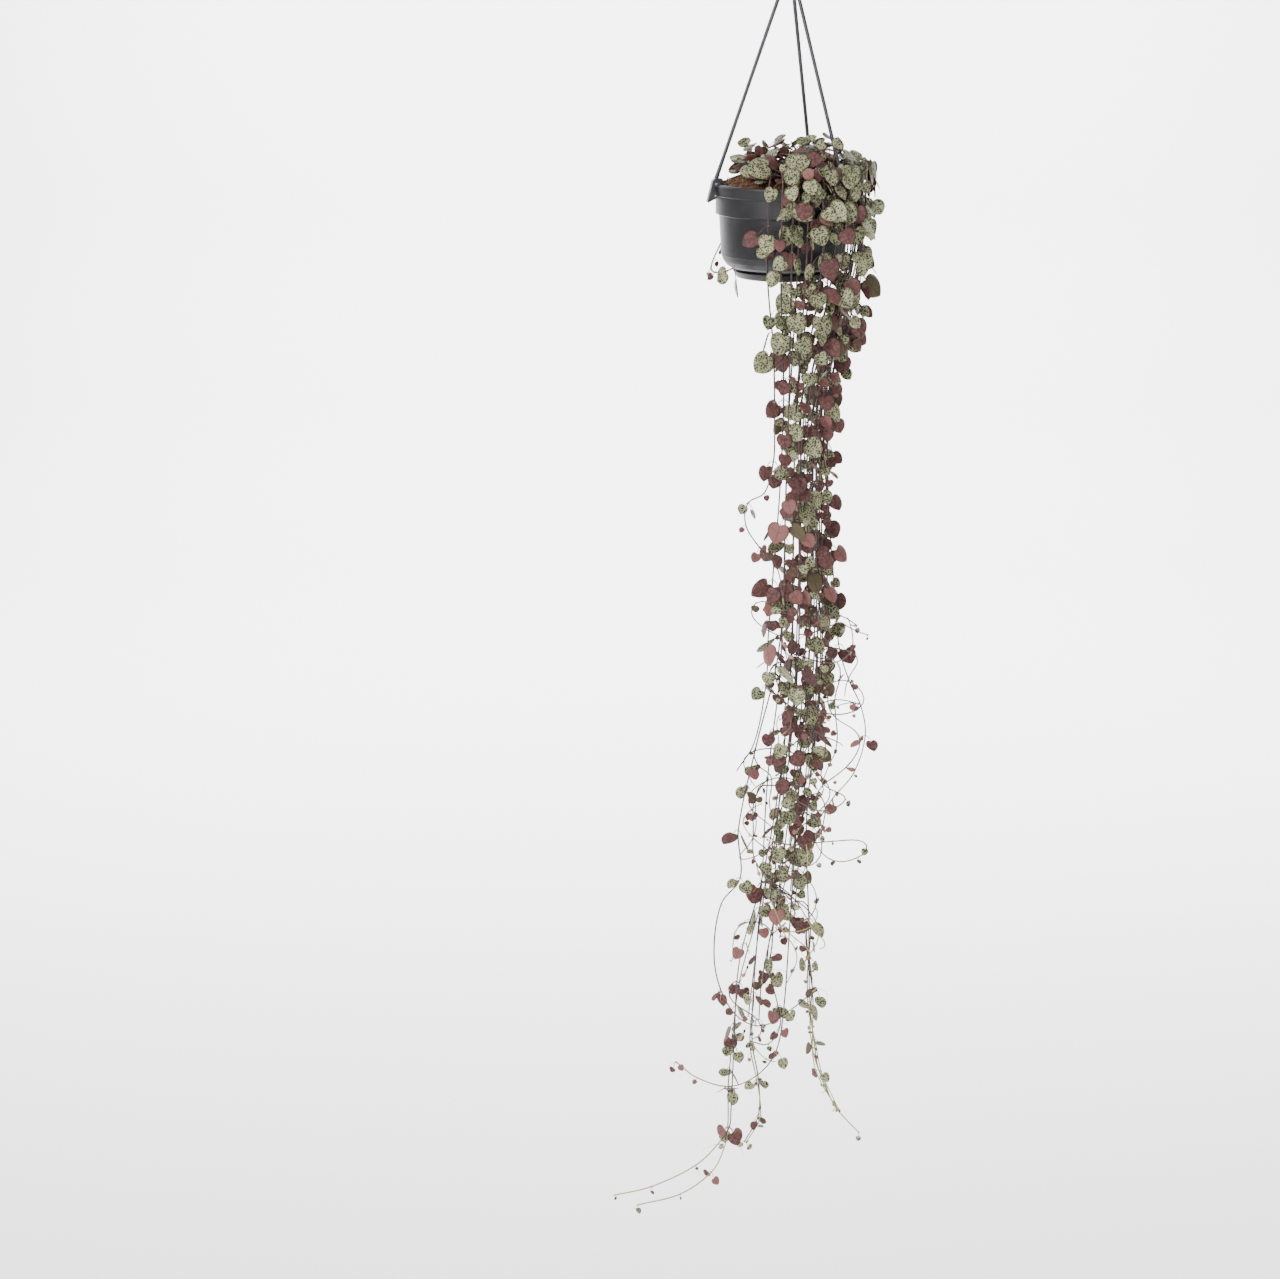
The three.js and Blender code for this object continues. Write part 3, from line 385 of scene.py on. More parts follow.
SOIL_CROWN = 10  # mm above the rim, in the middle
SOIL_EDGE = -4  # where the mound meets the wall
RIM_MOUTH = 66
SOIL_BELOW = [(0, -78.4), (49.5, -77.9), (58.6, -71), (61.8, -31), (63.2, -6)]
SOIL_RINGS = [63.6, 61, 57, 53, 49, 45, 41, 37, 33, 29, 25, 21, 17, 13, 9, 5, 2, 0]
LUMP_HEIGHT = 1.5
FIBRES, FIBRE_LENGTHS, FIBRE_SPREAD = 900, (4, 15), 62
HUSKS, HUSK_SPREAD = 260, 61
COIR_GAP = 0.6  # mm that the mound stays under the plain solid
COIR_DARK, COIR_WARM, COIR_PALE = "1a0e08", "5f3a20", "a98460"


def mix(a, b, share):
    return a + (b - a) * share


def soil_height(radius):
    share = min(radius / (RIM_MOUTH - 1), 1)
    return mix(SOIL_CROWN, SOIL_EDGE, share ** 4)


def coir_surface(x, y):
    """The height of the mound's lumpy surface at a place, in mm from the rim."""
    radius = math.hypot(x, y)
    lumps = noise.noise(Vector((x, y, 3)) * 0.16) + 0.6 * noise.noise(Vector((x, y, 9)) * 0.42)
    return soil_height(radius) - COIR_GAP + LUMP_HEIGHT * lumps * min(1, (RIM_MOUTH - radius) / 8)


profile = SOIL_BELOW + [(radius, soil_height(radius) - COIR_GAP) for radius in SOIL_RINGS]
coir_form = turned(profile, 0.01, 72)
for vert in coir_form.verts:
    x, y, z = vert.co / MM
    if z + RIM_DROP > -5 and math.hypot(x, y) < 63.5:
        vert.co.z = (coir_surface(x, y) - RIM_DROP) * MM

draw = random.Random(41)
fibres = []
for _ in range(FIBRES):
    radius, azimuth = FIBRE_SPREAD * math.sqrt(draw.random()), draw.uniform(0, 360)
    x, y, _ = polar(azimuth, radius, 0)
    heading, length = draw.uniform(0, 360), draw.uniform(*FIBRE_LENGTHS)
    curl, lift = draw.uniform(-70, 70), draw.uniform(0.2, 2.6)
    line = []
    for step in range(6):
        if math.hypot(x, y) > 64:
            break
        share = step / 5
        height = coir_surface(x, y) + lift * math.sin(math.pi * share) - 0.25
        line.append(((x, y, height), 0.16 + 0.12 * math.sin(math.pi * share)))
        x, y, _ = np.array((x, y, 0)) + polar(heading + curl * share, length / 5, 0)
    if len(line) > 3:
        fibres.append(line)
take_in(coir_form, tubes(fibres, 4))
for _ in range(HUSKS):
    radius, azimuth = HUSK_SPREAD * math.sqrt(draw.random()), draw.uniform(0, 360)
    x, y, _ = polar(azimuth, radius, 0)
    size = Matrix.Diagonal((draw.uniform(1.2, 3.6), draw.uniform(0.7, 1.6), draw.uniform(0.4, 1.1), 1))
    turn = Matrix.Rotation(draw.uniform(0, 6.28), 4, "Z") @ Matrix.Rotation(draw.uniform(-0.6, 0.6), 4, "Y")
    place = Matrix.Translation(in_place((x, y, coir_surface(x, y) + 0.4)))
    bmesh.ops.create_icosphere(coir_form, subdivisions=1, radius=MM, matrix=place @ turn @ size)

look = Look("coir")
where = look.place()
strands = look.noise(where, 900, 3)
colour = look.blend(look.ramp(look.noise(where, 260, 4), 0.36, 0.58), COIR_DARK, COIR_WARM)
colour = look.blend(look.ramp(strands, 0.56, 0.72), colour, COIR_PALE)
coir_material = look.coat(colour, 0.9, strands, 0.6, 0.0006)

coir = placed("coir_mound", coir_form, coir_material)
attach(coir, "root")
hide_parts("soil")

# ---- How the stems run ----
# The plant roots all over the mound. Its wiry stems arch over the rim, mostly at the front and the right,
# and trail for up to 1.15 m, drawn together below the pot and straying apart again at their tips.

SHOOTS = [  # short shoots that stay above the pot: where each leaves the coir, and its tip, in mm
    ((-24, -8), (-38, -28, 22)), ((-18, 10), (-24, -6, 32)), ((-26, -28), (-22, -58, 9)),
    ((-6, -26), (-6, -62, 11)), ((8, 12), (2, -22, 30)), ((16, -26), (14, -60, 15)),
    ((30, 10), (26, -14, 29)), ((38, 2), (42, -38, 27)), ((18, 30), (14, 46, 23)),
    ((46, -10), (56, -20, 24)), ((-8, 34), (-22, 46, 21)), ((42, 26), (62, 14, 16)),
    ((20, 10), (20, 18, 29)),
]
# Hanging stems: the azimuth where each crosses the rim, how far beyond the rim it hangs, how far below the
# rim it hangs straight, how high it arches, how it strays from its plumb line as (depth, sideways, back),
# where it runs after that, and which joints of that tail bear leaves.
HANGING = [
    (-106, 7, 262, 11, [(125, -2, 0), (262, -8, -26)],
     [(-20, -97, -290), (-36, -98, -300), (-38, -99, -322), (-24, -99, -345), (-6, -98, -366),
      (2, -96, -405)], [1, 3, 5]),
    (-96, 11, 500, 15, [(250, -4, 0), (500, -16, -6)],
     [(-24, -90, -560), (-41, -91, -590)], []),
    (-89.5, 14, 660, 10, [(400, -4, -4), (660, -34, -10)],
     [(-36, -98, -712), (-56, -100, -742), (-63, -101, -800), (-55, -101, -846), (-34, -100, -882),
      (-8, -99, -892), (24, -97, -872), (50, -92, -850)], [0, 3, 7]),
    (-84, 5, 930, 17, [(640, -8, -8), (930, -2, -22)],
     [(-10, -80, -972), (-9, -82, -1018), (-24, -84, -1052)], None),
    (-79, 12, 1010, 12, [(620, 0, 0), (850, -24, 0), (1010, -28, -12)],
     [(-42, -86, -1032), (-54, -88, -1052), (-80, -90, -1080), (-130, -92, -1107), (-172, -94, -1117)], [0]),
    (-74, 6, 850, 18, [(600, 0, 2), (850, 10, 0)],
     [(12, -52, -895), (15, -54, -920), (2, -56, -942), (-18, -57, -938)], [0, 1, 3]),
    (-69, 13, 905, 14, [(500, 0, -4), (905, -16, 16)], [], None),
    (-64, 7, 590, 19, [(590, 0, 0)], [], None),
    (-59, 13, 1000, 16, [(650, -4, 8), (880, -34, 18), (1000, -42, 18)],
     [(-42, -58, -1050), (-46, -58, -1080), (-60, -59, -1111), (-96, -61, -1140), (-146, -64, -1153)],
     [0, 2]),
    (-54, 5, 330, 11, [(330, 2, 0)], [], None),
    (-49.5, 11, 905, 17, [(600, 0, 0), (905, -16, -6)], [], None),
    (-33, 4, 700, 10, [(700, 0, 4)], [], None),
    (-36, 9, 905, 15, [(600, 0, 0), (905, 6, 4)],
     [(12, -46, -958), (-8, -47, -988), (-40, -48, -1003), (-78, -50, -990), (-102, -52, -968)], [0, 2, 4]),
    (-30, 12, 610, 20, [(610, 4, -4)], [], None),
    (-25, 5, 445, 12, [(445, 4, 0)], [], None),
    (-20, 9, 900, 15, [(600, 4, -3), (900, 24, 0)],
     [(56, -34, -950), (63, -34, -990), (84, -33, -1040), (113, -31, -1077)], None),
    (-15, 4, 770, 10, [(770, -4, 4)], [], None),
    (-10, 9, 865, 15, [(600, 4, 0), (865, -28, 8)], [], None),
    (-5, 4, 205, 18, [(205, 10, -4)], [], None),
    (0, 9, 480, 12, [(300, 4, 4), (480, 20, 16)],
     [(82, -4, -520), (97, -5, -552), (103, -6, -586), (92, -7, -630), (70, -8, -660),
      (50, -8, -696)], [2, 4, 5]),
    (6, 4, 820, 17, [(820, -6, 2)], [], None),
    (13, 9, 345, 10, [(345, 6, 2)], [], None),
    (22, 4, 730, 15, [(730, -4, 2)], [], None),
    (33, 8, 460, 18, [(460, 0, 2)], [], None),
    (50, 6, 300, 14, [(300, 0, 2)], [], None),
    (118, 5, 30, 11, [(30, -8, 0)],
     [(-62, 40, -66), (-68, 26, -76), (-71, 12, -82), (-71, -2, -85), (-68, -16, -85), (-61, -29, -83),
      (-51, -39, -78)], [6]),
]
TAIL_WIDTHS = {0: 11, 2: 15, 19: 14, 25: 20}  # hanging stem: width of its tail's leaves
LAST_HEADINGS = {25: -8}  # and the heading of its last leaf
GATHER = [  # below the pot: depth, how far the stems are drawn in, the column's middle, half its width
    (0, 0, 27, 25), (50, 0, 27, 25), (230, 0.85, 27, 25), (500, 0.85, 34, 33), (680, 0.85, 22, 34),
    (860, 0.9, 14, 44),
]
MIDDLE_AZIMUTH, AZIMUTH_REACH = -28, 78
RIM_RADIUS = 70.5
UPPER_SPACING, MIDDLE_SPACING, LOWER_SPACING = 27, 80, 110  # between a hanging stem's joints
UPPER_DEPTH, MIDDLE_DEPTH = 130, 480
HOLE_DEPTH = 13
STEM_CLEARANCE = 2.6
ROUTE_TRIES = 300
RIM_JOINTS = 5  # a hanging stem's joints up to the rim


def draws(seed):
    """Repeatable draws from 0 to 1."""
    state = int(seed) % 2 ** 32

    def next_draw():
        nonlocal state
        state = (state * 1664525 + 1013904223) % 2 ** 32
        return state / 2 ** 32

    return next_draw


def values_at(table, depth):
    """Reads rows of (depth, value, value...) at a depth, easing from each row to the next."""
    i = 1
    while i < len(table) - 1 and table[i][0] < depth:
        i += 1
    above, below = table[i - 1], table[i]
    share = min(max((depth - above[0]) / (below[0] - above[0]), 0), 1)
    share = share * share * (3 - 2 * share)
    return [mix(a, b, share) for a, b in zip(above[1:], below[1:])]


def joint_depths(drop, chance):
    depths, depth = [], UPPER_SPACING * mix(0.7, 1.3, chance())
    while depth < drop - 12:
        depths.append(depth)
        spacing = LOWER_SPACING
        if depth < MIDDLE_DEPTH:
            spacing = MIDDLE_SPACING
        if depth < UPPER_DEPTH:
            spacing = UPPER_SPACING
        depth += spacing * mix(0.75, 1.25, chance())
    return depths + [drop]


def hanging_path(plan, chance):
    azimuth, out, drop, rise, stray, tail, _ = plan
    turn = mix(-9, 9, chance())
    root = mix(22, 50, chance())
    swing = mix(0.5, 1.8, chance())
    phase = [chance() * 6.283, chance() * 6.283]
    path = [
        polar(azimuth + turn, root, soil_height(root) - HOLE_DEPTH + 3),
        polar(azimuth + turn, root, soil_height(root) + 3),
        polar(azimuth + turn * 0.6, mix(root, RIM_MOUTH, 0.4), rise),
        polar(azimuth + turn * 0.2, mix(root, RIM_MOUTH, 0.8), rise * 0.7 + 4),
        polar(azimuth, RIM_RADIUS + 1.6, 4 + rise * 0.15),
        polar(azimuth, RIM_RADIUS + out, -10),
    ]
    for depth in joint_depths(drop, chance):
        sideways, back = values_at([(0, 0, 0), *stray], depth)
        pull, middle, half = values_at(GATHER, depth)
        point = polar(azimuth, RIM_RADIUS + out, -depth)
        column_x = middle + (half * (azimuth - MIDDLE_AZIMUTH)) / AZIMUTH_REACH
        column_y = point[1] * 0.45 - 22 - 3 * (out - 8)
        point[0] = mix(point[0], column_x, pull) + sideways + swing * math.sin(depth / 61 + phase[0])
        point[1] = mix(point[1], column_y, pull) + back + swing * math.sin(depth / 83 + phase[1])
        path.append(point)
    return path + [np.array(point, float) for point in tail]


def shoot_path(plan, chance):
    root, tip = plan
    ground = soil_height(math.hypot(*root))
    path = [np.array((*root, ground - HOLE_DEPTH + 3), float), np.array((*root, ground + 1.5), float)]
    for share, height in ((0.2, 0.42), (0.45, 0.76), (0.75, 0.96), (1, 1)):
        path.append(np.array((
            mix(root[0], tip[0], share), mix(root[1], tip[1], share), mix(ground, tip[2], height),
        )))
    return path


class Room:
    """The boxes that stems and leaves already take up, each with the stem that it belongs to."""

    def __init__(self, most=6000):
        self.count = 0
        self.centre, self.axes, self.half = np.zeros((most, 3)), np.zeros((most, 3, 3)), np.zeros((most, 3))
        self.reach, self.owner, self.length = np.zeros(most), np.full(most, -1), np.full(most, -1)

    def take(self, shape, owner=-1, length=-1):
        i = self.count
        self.centre[i], self.axes[i], self.half[i] = shape
        self.reach[i] = math.hypot(*shape[2])
        self.owner[i], self.length[i] = owner, length
        self.count += 1

    def free(self, shape, but=None):
        """Whether a box is apart from every taken one, but for some that it may touch."""
        centre, axes, half = shape
        n = self.count
        away = self.centre[:n] - centre
        near = np.sqrt((away * away).sum(1)) <= self.reach[:n] + math.hypot(*half)
        if but is not None:
            near &= ~but[:n]
        near = np.flatnonzero(near)
        if len(near) == 0:
            return True
        away, others, other_half = away[near], self.axes[near], self.half[near]
        edges = np.cross(axes[None, None, :, :], others[:, :, None, :]).reshape(len(near), 9, 3)
        size = np.sqrt((edges * edges).sum(2))
        edges /= np.where(size > 1e-3, size, 1)[..., None]
        tests = np.concatenate([np.broadcast_to(axes, (len(near), 3, 3)), others, edges], 1)
        room = np.abs(tests @ axes.T) @ half
        room += np.einsum("kil,kl->ki", np.abs(np.einsum("kij,klj->kil", tests, others)), other_half)
        gap = np.abs(np.einsum("kij,kj->ki", tests, away))
        apart = gap > room
        apart[:, 6:] &= size > 1e-3
        return bool(apart.any(1).all())


def bar_box(a, b, radius):
    """The box round a bar: its middle, its axes and half its sizes."""
    length = np.linalg.norm(b - a)
    along = (b - a) / length
    across = unit(np.cross((1, 0, 0) if abs(along[2]) > 0.9 else (0, 0, 1), along))
    axes = np.array((along, across, np.cross(along, across)))
    return (a + b) / 2, axes, np.array((length / 2, radius, radius))


room = Room()
for azimuth in ARM_AZIMUTHS:
    room.take(bar_box(polar(azimuth, *ARM_TOP), polar(azimuth, *ARM_FOOT), ARM_RADIUS + 0.6))
    directions = np.array((polar(azimuth, 1, 0), polar(azimuth + 90, 1, 0), (0, 0, 1)))
    middle = polar(azimuth, (RIM_MOUTH + RIM_RADIUS) / 2 + 1, -5)
    room.take((middle, directions, np.array((9.5, CLIP_WIDTH / 2 + 0.8, 13))))

stems = []  # each with its number in its kind, its plan and its joints, and later what grows on it
for number, plan in enumerate(SHOOTS + HANGING):
    index = number - len(SHOOTS)
    kind, index, find_path, tail = (
        ("vine", index, hanging_path, plan[5]) if index >= 0 else ("shoot", number, shoot_path, [])
    )
    for attempt in range(ROUTE_TRIES):
        seed = 101 + number * 61 + attempt * 7
        chance = draws(seed * 2654435)
        chance()
        path = find_path(plan, chance)
        lengths = [bar_box(a, b, STEM_CLEARANCE / 2) for a, b in zip(path, path[1:])]
        if all(room.free(length) for length in lengths):
            break
    for i, length in enumerate(lengths):
        room.take(length, number, i)
    stems.append(SimpleNamespace(
        number=number, kind=kind, index=index, plan=plan, tail=tail, seed=seed, path=path,
        leaves=[], flowers=[], buds=[], branches=[],
    ))

# ---- Where the leaves grow ----
# Leaves grow in opposite pairs at the joints. Above the pot they lie over each other like shingles. Below
# the rim they hang from sagging stalks and turn every way, some tops and some undersides to the front.

LEAF_WIDTH = 21.5
LEAF_LENGTH = 0.92  # share of its width
LEAF_MIDDLE = 0.46  # share of its length
BLADE_THICKNESS = 1.6
PETIOLE_LENGTH = 7.5
PETIOLE_RADIUS = 0.55
BLADE_CLEARANCE = 0.35
TRIES = 30
FLOWER_DEPTH, FLOWER_CHANCE, FLOWER_LENGTH, FLOWER_RADIUS, PEDICEL_LENGTH = 440, 0.2, 15, 2.3, 7
CROWN_CENTRE = np.array((12, 14, -36))
DOWN = np.array((0.0, 0.0, -1.0))


def square_to(way, axis):
    """The part of a direction that is square to an axis, at unit length."""
    return unit(way - axis * np.dot(way, axis))


def outer_radius(z):
    if z > 3.5 or z < -93.9:
        return 0
    if z > -32:
        return RIM_RADIUS + 1.2
    if z > -73:
        return 65.8
    return 61 if z > -82.7 else 51.5


def clear_of_pot(blade):
    centre, axes, half = blade
    for i in (-1, 0, 1):
        for j in (-1, 0, 1):
            x, y, z = centre + axes[0] * i * half[0] + axes[1] * j * half[1]
            radius = math.hypot(x, y)
            if radius < outer_radius(z):
                return False
            if radius <= RIM_MOUTH and 3.5 < z < soil_height(radius) + 2.2:
                return False
    return True


def leaf_at(joint, out, notch, along, face, width):
    return SimpleNamespace(
        joint=joint, out=out, notch=notch, side=np.cross(along, face), along=along, face=face,
        width=width, length=width * LEAF_LENGTH,
    )


def stalked_leaf(joint, out, sag, along, facing, width, petiole):
    notch = joint + out * petiole * math.cos(sag) + DOWN * petiole * math.sin(sag)
    return leaf_at(joint, out, notch, along, square_to(facing, along), width)


def crown_leaf(joint, stem, angle, width, reach, chance):
    out = square_to(polar(angle, 1, 0), stem)
    facing = unit(joint - CROWN_CENTRE)
    spread = polar(360 * chance(), 1, 0)
    facing = unit(facing + spread * 0.75 * chance())
    if chance() < 0.3:
        facing = -facing
    along = square_to(out + DOWN * mix(-0.3, 0.8, chance()), facing)
    return stalked_leaf(joint, out, -0.25, along, facing, width, reach * mix(0.9, 1.6, chance()))


def hanging_leaf(joint, stem, angle, width, reach, chance):
    out = square_to(polar(angle, 1, 0), stem)
    lean = math.radians(mix(8, 55, chance()))
    leaning = polar(angle + mix(-40, 40, chance()), 1, 0)
    along = leaning * math.sin(lean) + DOWN * math.cos(lean)
    upper = -joint[2] < UPPER_DEPTH
    outwards = azimuth_of(joint) if upper else -90
    spread = 42 if chance() < 0.7 else 180
    turned_over = 0 if chance() < (0.75 if upper else 0.42) else 180
    facing = polar(outwards + turned_over + mix(-spread, spread, chance()), 1, 0)
    return stalked_leaf(joint, out, 0.7, along, facing, width, reach * mix(0.75, 1.2, chance()))


def stalk_box(joint, end, share):
    return bar_box(joint + (end - joint) * share, end, PETIOLE_RADIUS + BLADE_CLEARANCE)


def blade_box(leaf, width_share, length_share, half_thickness):
    centre = leaf.notch + leaf.along * leaf.length * LEAF_MIDDLE
    half = np.array((leaf.width * width_share, leaf.length * length_share, half_thickness))
    return centre, np.array((leaf.side, leaf.along, leaf.face)), half


def leaf_boxes(leaf):
    """The boxes that a leaf needs: its blade, its stalk, and the stalk's end."""
    blade = blade_box(leaf, 0.5, 0.54, BLADE_THICKNESS / 2 + BLADE_CLEARANCE)
    return blade, stalk_box(leaf.joint, leaf.notch, 0.15), stalk_box(leaf.joint, leaf.notch, 0.6)


def flower_frame(joint, stem, outs):
    leaf_side = sum(outs, np.zeros(3))
    if np.linalg.norm(leaf_side) < 0.5:
        leaf_side = np.cross(stem, outs[0])
    out = -unit(leaf_side)
    along = unit(out + DOWN * -1.1)
    return SimpleNamespace(joint=joint, out=out, foot=joint + along * PEDICEL_LENGTH, along=along)


def flower_boxes(flower):
    joint, foot = flower.joint, flower.foot
    tube = bar_box(foot, foot + flower.along * FLOWER_LENGTH, FLOWER_RADIUS + BLADE_CLEARANCE)
    return tube, stalk_box(joint, foot, 0.3), stalk_box(joint, foot, 0.8)


def settle(stem, beside, tries, make, boxes_of):
    """Takes the first drawn placing that touches nothing. Only a stalk's end keeps clear of its own joint."""
    own = (room.owner == stem.number) & np.isin(room.length, beside)
    for attempt in range(tries):
        growth = make(attempt)
        blade, stalk, stalk_end = boxes_of(growth)
        if clear_of_pot(blade) and room.free(blade) and room.free(stalk, own) and room.free(stalk_end):
            room.take(blade, stem.number)
            room.take(stalk, stem.number)
            return growth
    return None


def bears_leaves(stem, index, chance):
    drawn = chance()
    if stem.kind == "shoot":
        return index > 1
    azimuth, *_, leafy = stem.plan
    depth = -stem.path[index][2]
    tail_joint = index - len(stem.path) + len(stem.tail)
    over_rim = abs(azimuth + 54) < 48
    if tail_joint >= 0:
        return tail_joint in leafy if leafy is not None else drawn < 0.8
    if index < RIM_JOINTS:
        return drawn < (0.2 if index < 3 else 0.85 if over_rim else 0.15)
    if depth < UPPER_DEPTH:
        return drawn < (0.72 if over_rim else 0.2)
    return drawn < 0.64


def leaf_width(stem, index, height, chance):
    size = LEAF_WIDTH * mix(0.78, 1.2, chance())
    from_tip = len(stem.path) - 1 - index
    if stem.kind == "shoot":
        return size * 0.84
    if stem.index in TAIL_WIDTHS and from_tip < len(stem.tail):
        return TAIL_WIDTHS[stem.index]
    return size * mix(0.45, 1, min(from_tip / 3, 1)) * (0.72 if height < -860 else 1)


for stem in stems:
    chance = draws(stem.seed * 977 + 5)
    path = stem.path
    last = len(path) - 1
    for index in range(2, last + 1):
        if not bears_leaves(stem, index, chance):
            continue
        joint, heading = path[index], heading_at(path, index)
        width = leaf_width(stem, index, joint[2], chance)
        make_leaf = crown_leaf if joint[2] > 9 else hanging_leaf
        outwards = azimuth_of(joint)
        over = math.hypot(joint[0], joint[1]) > 48 and -joint[2] < UPPER_DEPTH
        first = mix(-50, 50, chance()) if chance() < 0.6 else chance() * 360
        ways = [outwards + 55, outwards - 55] if over else [first, first + 180]
        if index == last and stem.kind == "vine":
            ways[0] = LAST_HEADINGS.get(stem.index, ways[0])
        pair = []
        for way in ways:
            def drawn_leaf(attempt):
                angle = way + mix(-75, 75, chance()) * min(attempt / 8 + 0.2, 1)
                shrink = 1 - 0.02 * max(attempt - 6, 0)
                reach = PETIOLE_LENGTH * (1 + (0.05 if over else 0.03) * attempt)
                return make_leaf(joint, heading, angle, width * shrink, reach, chance)

            leaf = settle(stem, [index - 1, index], TRIES, drawn_leaf, leaf_boxes)
            if leaf:
                pair.append(leaf)
        stem.leaves += pair
        on_tail = stem.kind == "shoot" or index >= last - len(stem.tail)
        if chance() > FLOWER_CHANCE or -joint[2] < FLOWER_DEPTH or on_tail or not pair:
            continue
        outs = [leaf.out for leaf in pair]
        flower = settle(
            stem, [index - 1, index], 1, lambda attempt: flower_frame(joint, heading, outs), flower_boxes,
        )
        if flower:
            stem.flowers.append(flower)

# Between those pairs the real plant has smaller ones. They find room among the others.

SMALL_SPACING = 31  # mm between joints, small ones included
SMALL_TRIES, SMALL_WIDTHS = 14, (0.55, 1.02)
SMALL_CHANCE = [(0, 0.7), (110, 0.85), (430, 0.8), (700, 0.6), (900, 0.35), (1200, 0.2)]  # by depth

for stem in stems:
    chance = draws(stem.seed * 331 + 17)
    path = stem.path
    stem.line, stem.places = smooth_line(path, 6)
    for i in range(RIM_JOINTS - 1, len(path) - 1 - len(stem.tail)):
        reach = np.linalg.norm(path[i + 1] - path[i])
        between = int(reach / SMALL_SPACING)
        for part in range(between):
            place = i + (part + 1) / (between + 1)
            nearest = int(np.argmin(np.abs(np.array(stem.places) - place)))
            joint, heading = stem.line[nearest], heading_at(stem.line, nearest)
            wanted = chance() < values_at(SMALL_CHANCE, -joint[2])[0]
            first = chance() * 360
            for way in (first, first + 180):
                width = LEAF_WIDTH * mix(*SMALL_WIDTHS, chance())

                def small_leaf(attempt):
                    angle = way + mix(-80, 80, chance()) * min(attempt / 8 + 0.2, 1)
                    reach = PETIOLE_LENGTH * (0.8 + 0.03 * attempt)
                    return hanging_leaf(joint, heading, angle, width * (1 - 0.03 * attempt), reach, chance)

                leaf = settle(stem, [i], SMALL_TRIES, small_leaf, leaf_boxes) if wanted else None
                if leaf:
                    stem.leaves.append(leaf)

# Over the coir the leaves lie in a low, dense mat, and over the rim they hang like shingles. Each takes any
# free place within reach of a stem. The coir stays bare at the far left.

MAT_DRAWS = 4200
MAT_REACH = 28  # mm, from a leaf to its stem
MAT_WIDTHS, CURTAIN_WIDTHS = (9.5, 16), (10, 19)
MAT_TOP, MAT_FALL, MAT_HALF = 38, 29, 72  # mm: height in the middle, fall to the rim, distance to it
MAT_MIDDLE = (10, 2)
MAT_LEFT = -46
CURTAINS = [  # over the rim and below it: draws, azimuths, mm beyond the rim, heights, stray, turned over
    (1900, (-93, 40), (-3, 20), (22, -38), 1.7, 0.3), (700, (-92, 20), (-14, 10), (-84, -150), 2, 0.5),
]
CURTAIN_TILT = 2.2
THIN_BLADE = 0.4  # mm, half the room that one of these blades needs
BLADE_CORE = 0.3  # share of the blade that no stem crosses

near_rim = [
    (stem, point) for stem in stems for point, place in zip(stem.line, stem.places)
    if point[2] > -165 and place > 1
]
near_points = np.array([point for _, point in near_rim])


def mat_leaf(place, outwards, tilt, stray_size, turned_over, widths, chance):
    """Grows a leaf at a place, unless no stem is near or another leaf is in the way."""
    distances = np.linalg.norm(near_points - place, axis=1)
    nearest = int(np.argmin(distances))
    if not 3 < distances[nearest] < MAT_REACH:
        return
    stem, joint = near_rim[nearest]
    stray = np.array((chance() - 0.5, chance() - 0.5, chance() - 0.5))
    facing = unit(outwards * tilt + (0, 0, max(1 - 0.6 * tilt, 0.1)) + stray * stray_size)
    if chance() < turned_over:
        facing = -facing
    out = unit((place - joint) * (1, 1, 0.3))
    along = square_to(out + outwards * 0.6 + DOWN * tilt + stray[[1, 2, 0]] * 1.6, facing)
    leaf = leaf_at(joint, out, place, along, facing, mix(*widths, chance()))
    blade = blade_box(leaf, 0.46, 0.5, THIN_BLADE)
    core = (blade[0], blade[1], blade[2] * (BLADE_CORE, BLADE_CORE, 1))
    bars = (room.half[:, 1:] < 1.6).all(1)
    if clear_of_pot(blade) and room.free(blade, bars) and room.free(core, ~bars):
        room.take(blade, stem.number)
        stem.leaves.append(leaf)


chance = draws(90210)
for _ in range(MAT_DRAWS):
    outwards = polar(chance() * 360, 1, 0)
    x, y, _ = outwards * 66 * math.sqrt(chance())
    height = chance()
    if x > MAT_LEFT - 0.25 * y:
        fall = MAT_FALL * (math.hypot(x - MAT_MIDDLE[0], y - MAT_MIDDLE[1]) / MAT_HALF) ** 2
        ground = soil_height(math.hypot(x, y)) + 3
        place = np.array((x, y, mix(ground, max(MAT_TOP - fall, ground + 2), math.sqrt(height))))
        mat_leaf(place, outwards, min(1, math.hypot(x, y) / 66) ** 3, 1.3, 0.42, MAT_WIDTHS, chance)
for count, azimuths, beyond, heights, stray_size, turned_over in CURTAINS:
    for _ in range(count):
        outwards = polar(mix(*azimuths, chance()), 1, 0)
        place = outwards * (RIM_RADIUS + mix(*beyond, chance())) + (0, 0, mix(*heights, chance()))
        mat_leaf(place, outwards, CURTAIN_TILT, stray_size, turned_over, CURTAIN_WIDTHS, chance)

# At bare joints and at the tips there are leaves that have only just opened.

BUD_WIDTH = (3.5, 7)
BUD_TRIES, BUD_STALK = 3, 3.2


def bud_pair(stem, joint, heading, beside, width, chance):
    first = chance() * 360
    for way in (first, first + 180):
        size = width * mix(0.8, 1.2, chance())
        bud = settle(
            stem, beside, BUD_TRIES,
            lambda attempt: hanging_leaf(joint, heading, way + 60 * attempt, size, BUD_STALK, chance),
            leaf_boxes,
        )
        if bud:
            stem.buds.append(bud)


for stem in stems:
    chance = draws(stem.seed * 419 + 3)
    path = stem.path
    if stem.kind == "vine":
        for i in range(RIM_JOINTS, len(path)):
            if all(leaf.joint is not path[i] for leaf in stem.leaves):
                bud_pair(stem, path[i], heading_at(path, i), [i - 1, i], mix(*BUD_WIDTH, chance()), chance)

# Thin side branches leave the lower joints. They stray through the column, some looping up first, and bear
# small pairs of leaves far apart.

